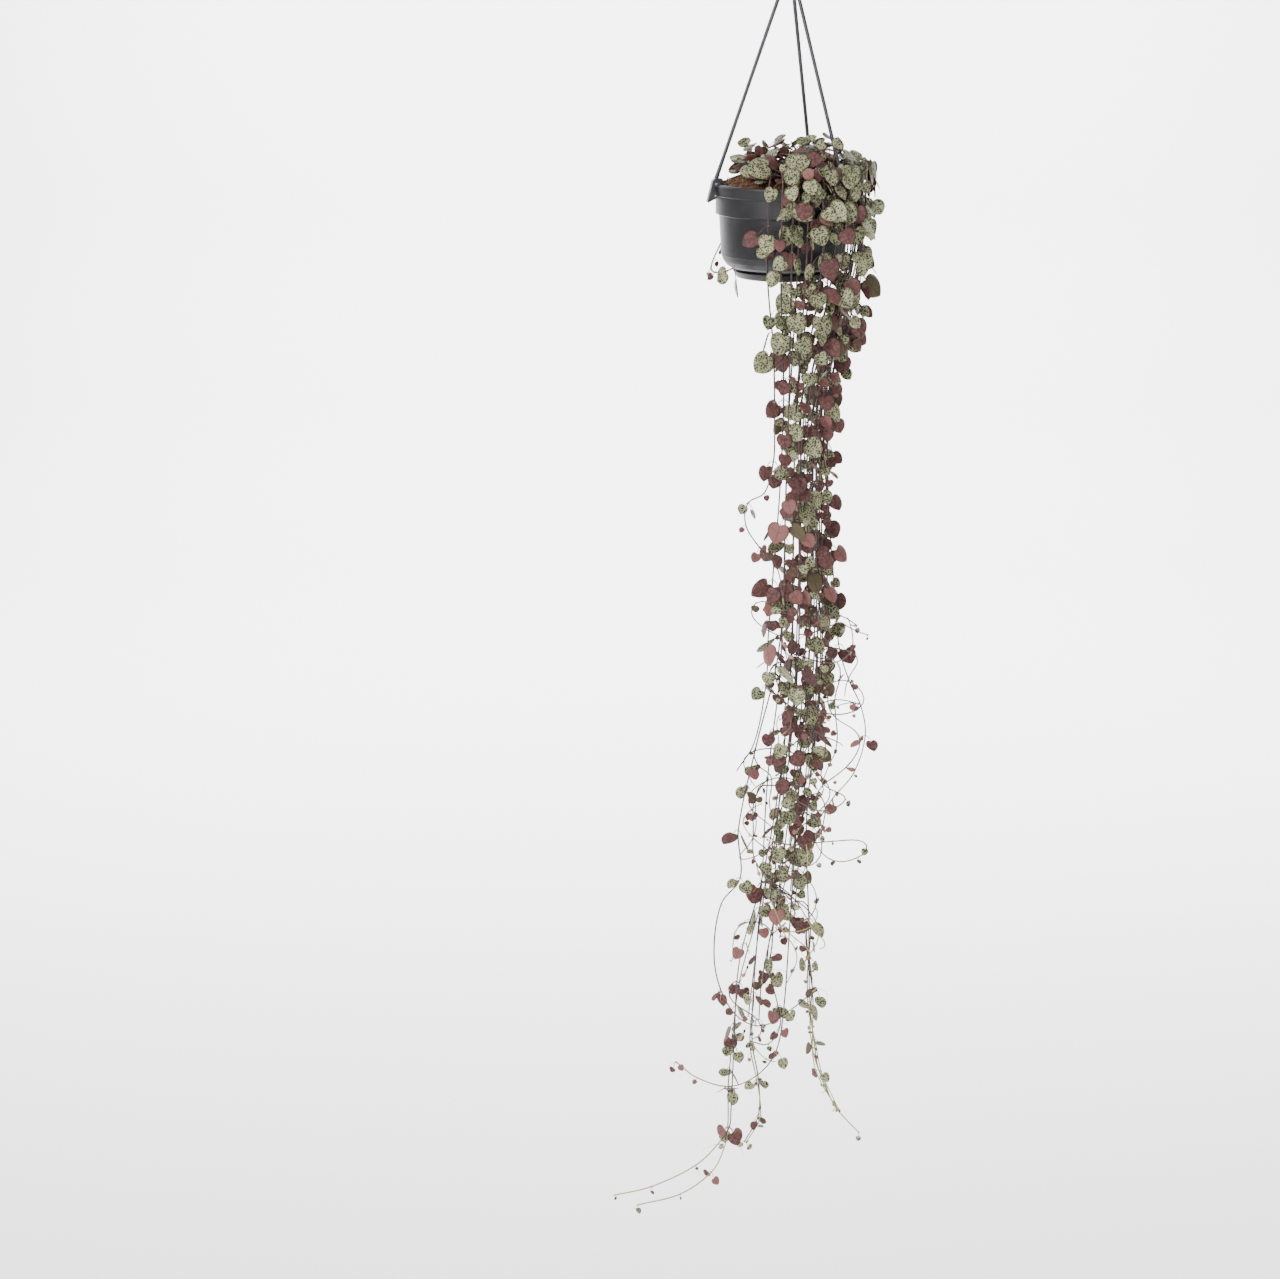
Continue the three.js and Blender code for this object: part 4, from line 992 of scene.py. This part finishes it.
BRANCH_DEPTHS = (440, 900)  # below the rim
BRANCH_LENGTHS = (90, 300)
BRANCH_STEP = 7  # mm
BRANCH_TRIES = 45
BRANCH_PART = 1000  # marks the boxes of side branches among a stem's own
BRANCHES = [5, 6, 5, 4]  # to a stem, in turn
COLUMN_REACH = 60  # mm that a branch may stray from the column's middle
LOWEST_BRANCH = -1075
noise.seed_set(23)  # without a seed it would follow the clock
def side_branch(joint, length, lift, chance):
    """The line of a branch, which stays near the column's middle as it hangs."""
    heading = unit(polar(360 * chance(), 1, lift))
    shift = Vector((chance() * 90, chance() * 90, chance() * 90))
    point, line = joint, [joint]
    for _ in range(int(length / BRANCH_STEP)):
        point = point + heading * BRANCH_STEP
        line.append(point)
        stray = np.array(noise.noise_vector(Vector(point) * 0.021 + shift))
        _, middle, _ = values_at(GATHER, -point[2])
        home = np.array((middle - point[0], -52 - point[1], 0)) / COLUMN_REACH
        heading = unit(heading + DOWN * 0.15 + stray * 0.95 + home * np.abs(home) * 0.6)
    return line


TWINED = {15: 3, 3: 1}  # hanging stem: how many more young stems twine round its tail

for stem in stems:
    if stem.kind == "shoot" or stem.plan[2] < 560:
        continue
    chance = draws(stem.seed * 613 + 11)
    for number in range(TWINED.get(stem.index, 0)):
        start = stem.places.index(len(stem.path) - 2 - len(stem.tail))
        phase, pitch, wide = chance() * 6.28, mix(20, 34, chance()), mix(1.8, 4.5, chance())
        line = [
            point + polar(math.degrees(phase + 6 * k / pitch), min(wide, 0.9 * k), 0)
            for k, point in enumerate(stem.line[start:start + int(mix(60, 90, chance()) * 0.6)])
        ]
        stem.branches.append(line)
        for k in range(4 + number, len(line), 5):
            bud_pair(stem, line[k], heading_at(line, k), [BRANCH_PART], mix(3, 6.5, chance()), chance)
    path = stem.path
    last = len(path) - 1 - len(stem.tail)
    starts = [i for i in range(6, last) if BRANCH_DEPTHS[0] < -path[i][2] < BRANCH_DEPTHS[1]]
    for number in range(BRANCHES[stem.index % len(BRANCHES)] if starts else 0):
        i = starts[int(chance() * len(starts))]
        for _ in range(BRANCH_TRIES):
            lift = mix(0.2, 1.6, chance()) if chance() < 0.4 else mix(-1.5, 0.1, chance())
            line = side_branch(path[i], mix(*BRANCH_LENGTHS, chance()), lift, chance)
            own = (room.owner == stem.number) & np.isin(room.length, [i - 1, i])
            lengths = [bar_box(a, b, 0.6) for a, b in zip(line, line[1:])]
            if min(point[2] for point in line) > LOWEST_BRANCH and all(
                    room.free(part, own if k < 2 else None) for k, part in enumerate(lengths)):
                break
        else:
            continue
        for part in lengths:
            room.take(part, stem.number, BRANCH_PART)
        stem.branches.append(line)
        k = 3 + int(3 * chance())
        while k < len(line):
            width = mix(4.5, 12, chance()) * mix(1, 0.55, k / len(line))
            bud_pair(stem, line[k], heading_at(line, k), [BRANCH_PART], width, chance)
            k += 3 + int(4 * chance())

# ---- Leaves, flowers and stems ----
# Each blade is fleshy and heart-shaped, on a thin stalk that joins it at the notch. The top is pale sage,
# netted and spotted with dark green, and the underside is dusty mauve with faint veins.

HEART = [  # half the outline, from the notch to the tip: share of the width, share of the length
    (0.0, 0.055), (0.05, 0.0), (0.14, -0.05), (0.27, -0.065), (0.41, 0.02), (0.495, 0.2), (0.495, 0.4),
    (0.43, 0.6), (0.29, 0.79), (0.11, 0.94), (0.0, 1.0),
]
EGG = [  # the same for the leaves that have hardly any notch
    (0.0, 0.035), (0.05, 0.0), (0.15, -0.03), (0.28, -0.02), (0.4, 0.08), (0.48, 0.26), (0.48, 0.45),
    (0.41, 0.65), (0.27, 0.82), (0.1, 0.95), (0.0, 1.0),
]
LEAF_ROWS, LEAF_COLUMNS = 12, 4  # faces along and across a blade
SHOULDER = 0.74  # share of the half width where the blade starts to round off
THICKNESS = 0.062  # share of the width
UNDER, STEM, FLOWER, DRY = range(1, 5)  # a leafy stem's materials, after the first, the blades' tops


def leaf_form(outline, cup, bend, skew):
    """A blade of unit width and length, as a closed mesh. Its UV map runs across and along the blade."""
    rim, _ = smooth_line([(x, y, 0) for x, y in outline], 0.02)
    walked = np.concatenate([[0], np.cumsum([np.linalg.norm(b - a) for a, b in zip(rim, rim[1:])])])
    walked /= walked[-1]
    form = bmesh.new()
    bmesh.ops.create_grid(form, x_segments=LEAF_COLUMNS, y_segments=LEAF_ROWS, size=1)
    blade_map = form.loops.layers.uv.new("blade")
    for vert in form.verts:
        across, towards = vert.co.x, (vert.co.y + 1) / 2
        if 0 < abs(across) < 1:
            across = math.copysign(SHOULDER, across)
        for loop in vert.link_loops:
            loop[blade_map].uv = (across, towards)
        rib = mix(outline[0][1], 1, towards)
        x = np.interp(towards, walked, [point[0] for point in rim])
        y = np.interp(towards, walked, [point[1] for point in rim])
        thick = THICKNESS / 2 * math.sqrt(1 - across ** 4) * (1 if 0 < towards < 1 else 0)
        vert.co = (across * x, rib + (y - rib) * abs(across), thick)
    bmesh.ops.remove_doubles(form, verts=form.verts, dist=1e-5)
    under = bmesh.ops.duplicate(form, geom=form.verts[:] + form.edges[:] + form.faces[:])["geom"]
    points = [part for part in under if isinstance(part, bmesh.types.BMVert)]
    bmesh.ops.scale(form, verts=points, vec=(1, 1, -1))
    under = [part for part in under if isinstance(part, bmesh.types.BMFace)]
    bmesh.ops.reverse_faces(form, faces=under)
    for face in under:
        face.material_index = UNDER
    bmesh.ops.remove_doubles(form, verts=form.verts, dist=1e-5)
    for vert in form.verts:
        x, y, z = vert.co
        vert.co.x += skew * y * (1 - y)
        vert.co.z = z + cup * (2 * x) ** 2 - bend * y ** 2 - THICKNESS * 0.35
    return as_mesh("leaf form", form)


leaf_forms = [leaf_form(*settings) for settings in (
    (HEART, 0.04, 0.02, 0.04), (HEART, -0.045, 0.05, -0.06), (EGG, 0.07, -0.02, 0.05),
    (HEART, -0.02, 0.07, 0), (EGG, 0.02, 0, -0.05), (HEART, -0.06, 0.03, 0.07), (EGG, -0.03, 0.08, 0.03),
)]

FLOWER_PROFILE = [  # share of the length, radius in mm
    (0, 0.5), (0.07, 1.6), (0.16, 2.3), (0.26, 2.0), (0.38, 1.0), (0.6, 0.85), (0.74, 1.25), (0.82, 1.5),
    (0.92, 1.1), (1, 0.3),
]
FLOWER_SIDES = 8
FLOWER_CURVE = 1.6  # mm that the tube bows


def flower_form():
    form = spun([(radius, share * FLOWER_LENGTH) for share, radius in FLOWER_PROFILE], FLOWER_SIDES)
    bmesh.ops.holes_fill(form, edges=form.edges, sides=FLOWER_SIDES)
    bmesh.ops.recalc_face_normals(form, faces=form.faces)
    in_order(form)
    blade_map = form.loops.layers.uv.new("blade")
    for face in form.faces:
        face.material_index = FLOWER
        for loop in face.loops:
            loop[blade_map].uv = (0, loop.vert.co.z / FLOWER_LENGTH)
    for vert in form.verts:
        vert.co.x += FLOWER_CURVE * math.sin(math.pi * vert.co.z / FLOWER_LENGTH)
    return as_mesh("flower form", form)


flower_shape = flower_form()


def add_copy(form, shape, place, size, spot_shift, tone):
    """Adds a copy of a leaf or flower form, with its place on the spotted pattern and its own tone."""
    before = len(form.faces)
    form.from_mesh(shape)
    form.faces.ensure_lookup_table()
    faces = form.faces[before:]
    blade_map, spot_map = form.loops.layers.uv["blade"], form.loops.layers.uv["spots"]
    tones = form.faces.layers.float["tone"]
    for face in faces:
        face[tones] = tone
        for loop in face.loops:
            x, y, _ = loop.vert.co
            loop[spot_map].uv = (x * size * 0.1 + spot_shift[0], y * size * 0.1 + spot_shift[1])
    points = list(dict.fromkeys(vert for face in faces for vert in face.verts))
    bmesh.ops.transform(form, matrix=place, verts=points)


def axes_matrix(x, y, z, origin, scale):
    """A matrix from a unit shape's own axes, in mm, to its place in metres."""
    columns = [Vector(axis) * size * MM for axis, size in zip((x, y, z), scale)]
    return Matrix.Translation(in_place(origin)) @ Matrix(columns).transposed().to_4x4()


def stalk_line(growth, end, thick):
    """A stalk that leaves its stem square and enters the blade in the blade's direction."""
    joint = growth.joint
    reach = np.linalg.norm(end - joint)
    return [
        (curve_point(joint, end, growth.out * reach, growth.along * reach, t), thick * mix(1.15, 0.85, t))
        for t in (0, 0.2, 0.4, 0.6, 0.8, 1)
    ]


def leaf_look(name):
    """One side's look, how far across and along the blade a place is, the spots' map, and the leaf's tone."""
    look = Look(name)
    blade = look.node("SeparateXYZ", {}, {0: look.node("UVMap", {"uv_map": "blade"}, {})})
    spots_at = look.node("UVMap", {"uv_map": "spots"}, {})
    tone = look.node("Attribute", {"attribute_name": "tone"}, {}, "Fac")
    return look, look.maths("ABSOLUTE", blade), blade.node.outputs[1], spots_at, tone


# The top of a blade: pale sage between dark green spots, an unspotted margin darkened by painted shade, and a
# thin dark rim.
look, margin, _, spots_at, tone = leaf_look("leaf top")
wander = look.noise(spots_at, 6, 2, dimensions="2D", output="Color")
warped = look.node("VectorMath", {"operation": "MULTIPLY_ADD"}, {0: wander, 1: (0.22, 0.22, 0), 2: spots_at})
cells = look.node("TexVoronoi", {"voronoi_dimensions": "2D"}, {"Vector": warped, "Scale": 4.3}, "Distance")
drift = look.noise(spots_at, 1.6, 1, dimensions="2D")
crowd = look.maths("ADD", look.times(tone, 0.1), look.times(drift, 0.26))
near_spot = look.maths("SUBTRACT", cells, crowd)
spots = look.times(look.ramp(near_spot, 0.16, 0.07), look.ramp(margin, 0.95, 0.85))
colour = look.blend(look.ramp(drift, 0.35, 0.65), "b1af8c", "908e6f")
colour = look.blend(look.times(tone, 0.7), colour, "565a41")
colour = look.blend(look.times(look.ramp(near_spot, 0.36, 0.14), 0.45), colour, "5e6345")
# Painted shade: this darker band along the margin stands for the shadowed gaps between overlapping leaves.
colour = look.blend(look.ramp(margin, 0.8, 0.97), colour, "797a5b")
colour = look.blend(look.times(spots, 0.95), colour, "14150d")
# The thin dark rim at the very edge is the leaf's own colour.
colour = look.blend(look.ramp(margin, 0.96, 0.99), colour, "4a4632")
leaf_top = look.coat(colour, 0.5, spots, 0.15, 0.0003, shine=0.14)

# The underside: dusty mauve, mottled, with a midrib and side veins a little darker than the rest.
look, margin, towards, spots_at, tone = leaf_look("leaf underside")
mottle = look.noise(spots_at, 3.4, 5, dimensions="2D")
colour = look.blend(look.ramp(mottle, 0.32, 0.68), "4b3231", "674643")
colour = look.blend(look.ramp(tone, 0.6, 1), colour, "885c58")
colour = look.blend(look.ramp(tone, 0.14, 0.02), colour, "544b38")
waves = look.maths("PINGPONG", look.times(towards, 5), 1)
veins = look.times(look.ramp(waves, 0.12, 0), look.ramp(margin, 0.95, 0.55))
veins = look.maths("MAXIMUM", veins, look.ramp(margin, 0.09, 0.02))
colour = look.blend(look.times(veins, 0.4), colour, "33201f")
colour = look.blend(look.ramp(margin, 0.9, 0.99), colour, "3b2f26")
leaf_under = look.coat(colour, 0.55, veins, 0.25, 0.0004, invert=True, shine=0.14)

# Stems and stalks: mauve-brown, greyer where they have turned woody and yellow-green where they are young.
look = Look("stem skin")
where = look.place()
colour = look.blend(look.ramp(look.noise(where, 18, 3), 0.38, 0.62), "382925", "5c443f")
colour = look.blend(look.ramp(look.noise(where, 420, 2), 0.52, 0.68), colour, "2b201e")
young = look.node("Attribute", {"attribute_name": "tone"}, {}, "Fac")
stem_skin = look.coat(look.blend(look.times(young, 0.75), colour, "9a9450"), 0.6)

# Flowers: a swollen pink base, a paler tube, and a lantern tip that is almost black.
look = Look("flower")
along = look.node("SeparateXYZ", {}, {0: look.node("UVMap", {"uv_map": "blade"}, {})}, 1)
colour = look.blend(look.ramp(along, 0.2, 0.5), "cc8f86", "e0bfa8")
colour = look.blend(look.ramp(look.noise(look.place(), 700, 2), 0.55, 0.7), colour, "b06a66")
petals = look.coat(look.blend(look.ramp(along, 0.72, 0.8), colour, "1c1016"), 0.55)

# Dead shoots and leaf stalks dry to a straw yellow.
look = Look("dry growth")
patches = look.ramp(look.noise(look.place(), 55, 3), 0.4, 0.6)
dry_skin = look.coat(look.blend(patches, "d6cc74", "c09a62"), 0.75)

STEM_THICK, TIP_THICK = 0.92, 0.76  # mm, the stem's radius at the coir and at its tip
BRANCH_THICK, BRANCH_TIP_THICK = 0.8, 0.62
STALK_THICK = 0.42
LEFT_LIMIT, RIGHT_LIMIT, FRONT_LIMIT = -176, 120, -113  # mm, as far as small growths reach
YOUNG_SHARES = {4: 0.12, 8: 0.12, 12: 0.1, 15: 0.2, 19: 0.1}  # hanging stem: share from its tip still young
DRY_DEPTH, YOUNG_DEPTH = 640, 700  # mm below the rim
DRY_CHANCE = 0.6


def within_reach(point):
    return LEFT_LIMIT < point[0] < RIGHT_LIMIT and point[1] > FRONT_LIMIT


def dry_shoot(joint, chance):
    """A thin dead shoot that curls away from a joint."""
    way, pitch, turn = chance() * 360, mix(-60, 20, chance()), mix(-160, 160, chance())
    length, point, line = mix(10, 26, chance()), joint, []
    for step in range(9):
        line.append((point, 0.34 - 0.02 * step))
        heading = polar(way + turn * step / 8, 1, math.tan(math.radians(pitch - 6 * step)))
        point = point + unit(heading) * length / 8
    return line


def add_rods(form, lines, sides, material, tone):
    """Adds round rods of one material, with a tone from mature (0) to young (1)."""
    if lines:
        faces = take_in(form, tubes(lines, sides))
        tones = form.faces.layers.float["tone"]
        for face in faces:
            face.material_index = material
            face[tones] = tone


for stem in stems:
    chance = draws(stem.seed * 53 + 29)
    line, last = stem.line, len(stem.path) - 1
    form = bmesh.new()
    form.loops.layers.uv.new("blade")
    form.loops.layers.uv.new("spots")
    form.faces.layers.float.new("tone")
    whole = [(point, mix(STEM_THICK, TIP_THICK, place / last)) for point, place in zip(line, stem.places)]
    share = YOUNG_SHARES.get(stem.index, 0) if stem.kind == "vine" else 0
    split = min(int(len(whole) * (1 - share)), len(whole) - 2)
    rods, young, dead = [whole[:split + 1]], [whole[split:]], []
    for branch in stem.branches:
        size = [mix(BRANCH_THICK, BRANCH_TIP_THICK, k / len(branch)) for k in range(len(branch))]
        half = len(branch) // 2
        green = half if -branch[0][2] > YOUNG_DEPTH else len(branch) - 2
        rods.append(list(zip(branch[:green + 1], size)))
        young.append(list(zip(branch[green:], size[green:])))
        shoot = dry_shoot(branch[half // 2], chance)
        if -branch[0][2] > DRY_DEPTH:
            dead.append(shoot)
    for leaf in stem.leaves + stem.buds:
        width, length = leaf.width, leaf.length
        if not within_reach(leaf.notch + leaf.along * length):
            continue
        end = leaf.notch + leaf.along * length * 0.12 - leaf.face * THICKNESS * 0.35 * width
        thick = STALK_THICK * mix(0.6, 1, min(width / 16, 1))
        rods.append(stalk_line(leaf, end, thick))
        place = axes_matrix(leaf.side, leaf.along, leaf.face, leaf.notch, (width, length, width))
        shape = leaf_forms[int(chance() * len(leaf_forms))]
        add_copy(form, shape, place, width, (chance() * 50, chance() * 50), chance())
        bead = axes_matrix((1, 0, 0), (0, 1, 0), (0, 0, 1), leaf.joint, (1, 1, 1.5))
        bmesh.ops.create_icosphere(form, subdivisions=1, radius=1, matrix=bead)
    for flower in stem.flowers:
        end = flower.foot + flower.along * 0.6
        rods.append(stalk_line(flower, end, STALK_THICK))
        side = unit(np.cross(DOWN, flower.along))
        front = np.cross(flower.along, side)
        place = axes_matrix(front, side, flower.along, flower.foot, (1, 1, 1))
        add_copy(form, flower_shape, place, 1, (0, 0), 0.5)
    for point in stem.path[RIM_JOINTS:]:
        if -point[2] > DRY_DEPTH and chance() < DRY_CHANCE:
            dead.append(dry_shoot(point, chance))
    add_rods(form, rods, 6, STEM, 0)
    add_rods(form, young, 6, STEM, 1)
    dead = [shoot for shoot in dead if all(within_reach(point) for point, _ in shoot)]
    add_rods(form, dead, 4, DRY, 0)
    name = ("crown_shoot_%02d" if stem.kind == "shoot" else "trail_%02d") % (stem.index + 1)
    growth = placed(name, form, leaf_top, leaf_under, stem_skin, petals, dry_skin)
    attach(growth, "root")
    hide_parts("%s_%02d" % (stem.kind, stem.index + 1))

# ---- Studio ----
# A pale floor that curves up into a backdrop, well below the tips, under two large soft lamps.

FLOOR_HEIGHT = -1.8  # metres
BACKDROP = [(-6, 0), (2.6, 0), (3.4, 0.12), (4.1, 0.5), (4.6, 1.1), (4.8, 2.0), (4.8, 6.0)]

sweep = bmesh.new()
edge = [sweep.verts.new((-7, y, FLOOR_HEIGHT + z)) for y, z in BACKDROP]
for start, end in zip(edge, edge[1:]):
    sweep.edges.new((start, end))
grown = bmesh.ops.extrude_edge_only(sweep, edges=sweep.edges[:])["geom"]
points = [part for part in grown if isinstance(part, bmesh.types.BMVert)]
bmesh.ops.translate(sweep, verts=points, vec=(14, 0, 0))
bmesh.ops.recalc_face_normals(sweep, faces=sweep.faces)
paper = Look("backdrop paper").coat("f4f4f5", 0.9)
backdrop = placed("backdrop", sweep, paper)


def soft_lamp(name, place, aim, size, power):
    data = bpy.data.lights.new(name, "AREA")
    data.size, data.energy = size, power
    lamp = bpy.data.objects.new(name, data)
    lamp.location = place
    lamp.rotation_euler = (Vector(aim) - Vector(place)).to_track_quat("-Z", "Y").to_euler()
    scene.collection.objects.link(lamp)


soft_lamp("key lamp", (-1.9, -2.3, 1.3), (0, 0, -0.55), 1.8, 150)
soft_lamp("fill lamp", (2.2, -2.0, 0.2), (0, 0, -0.6), 2.2, 50)
soft_lamp("low lamp", (-0.6, -2.6, -1.3), (0, 0, -0.95), 1.6, 34)
soft_lamp("left backdrop lamp", (-1.7, 2.3, 1.15), (-0.8, 4.3, -1.7), 2.2, 400)
soft_lamp("right backdrop lamp", (1.7, 2.3, 1.15), (0.8, 4.3, -1.7), 2.2, 400)
world = bpy.data.worlds.new("studio")
world.use_nodes = True
world.node_tree.nodes["Background"].inputs["Color"].default_value = tint("ffffff")
world.node_tree.nodes["Background"].inputs["Strength"].default_value = 0.3
scene.world = world
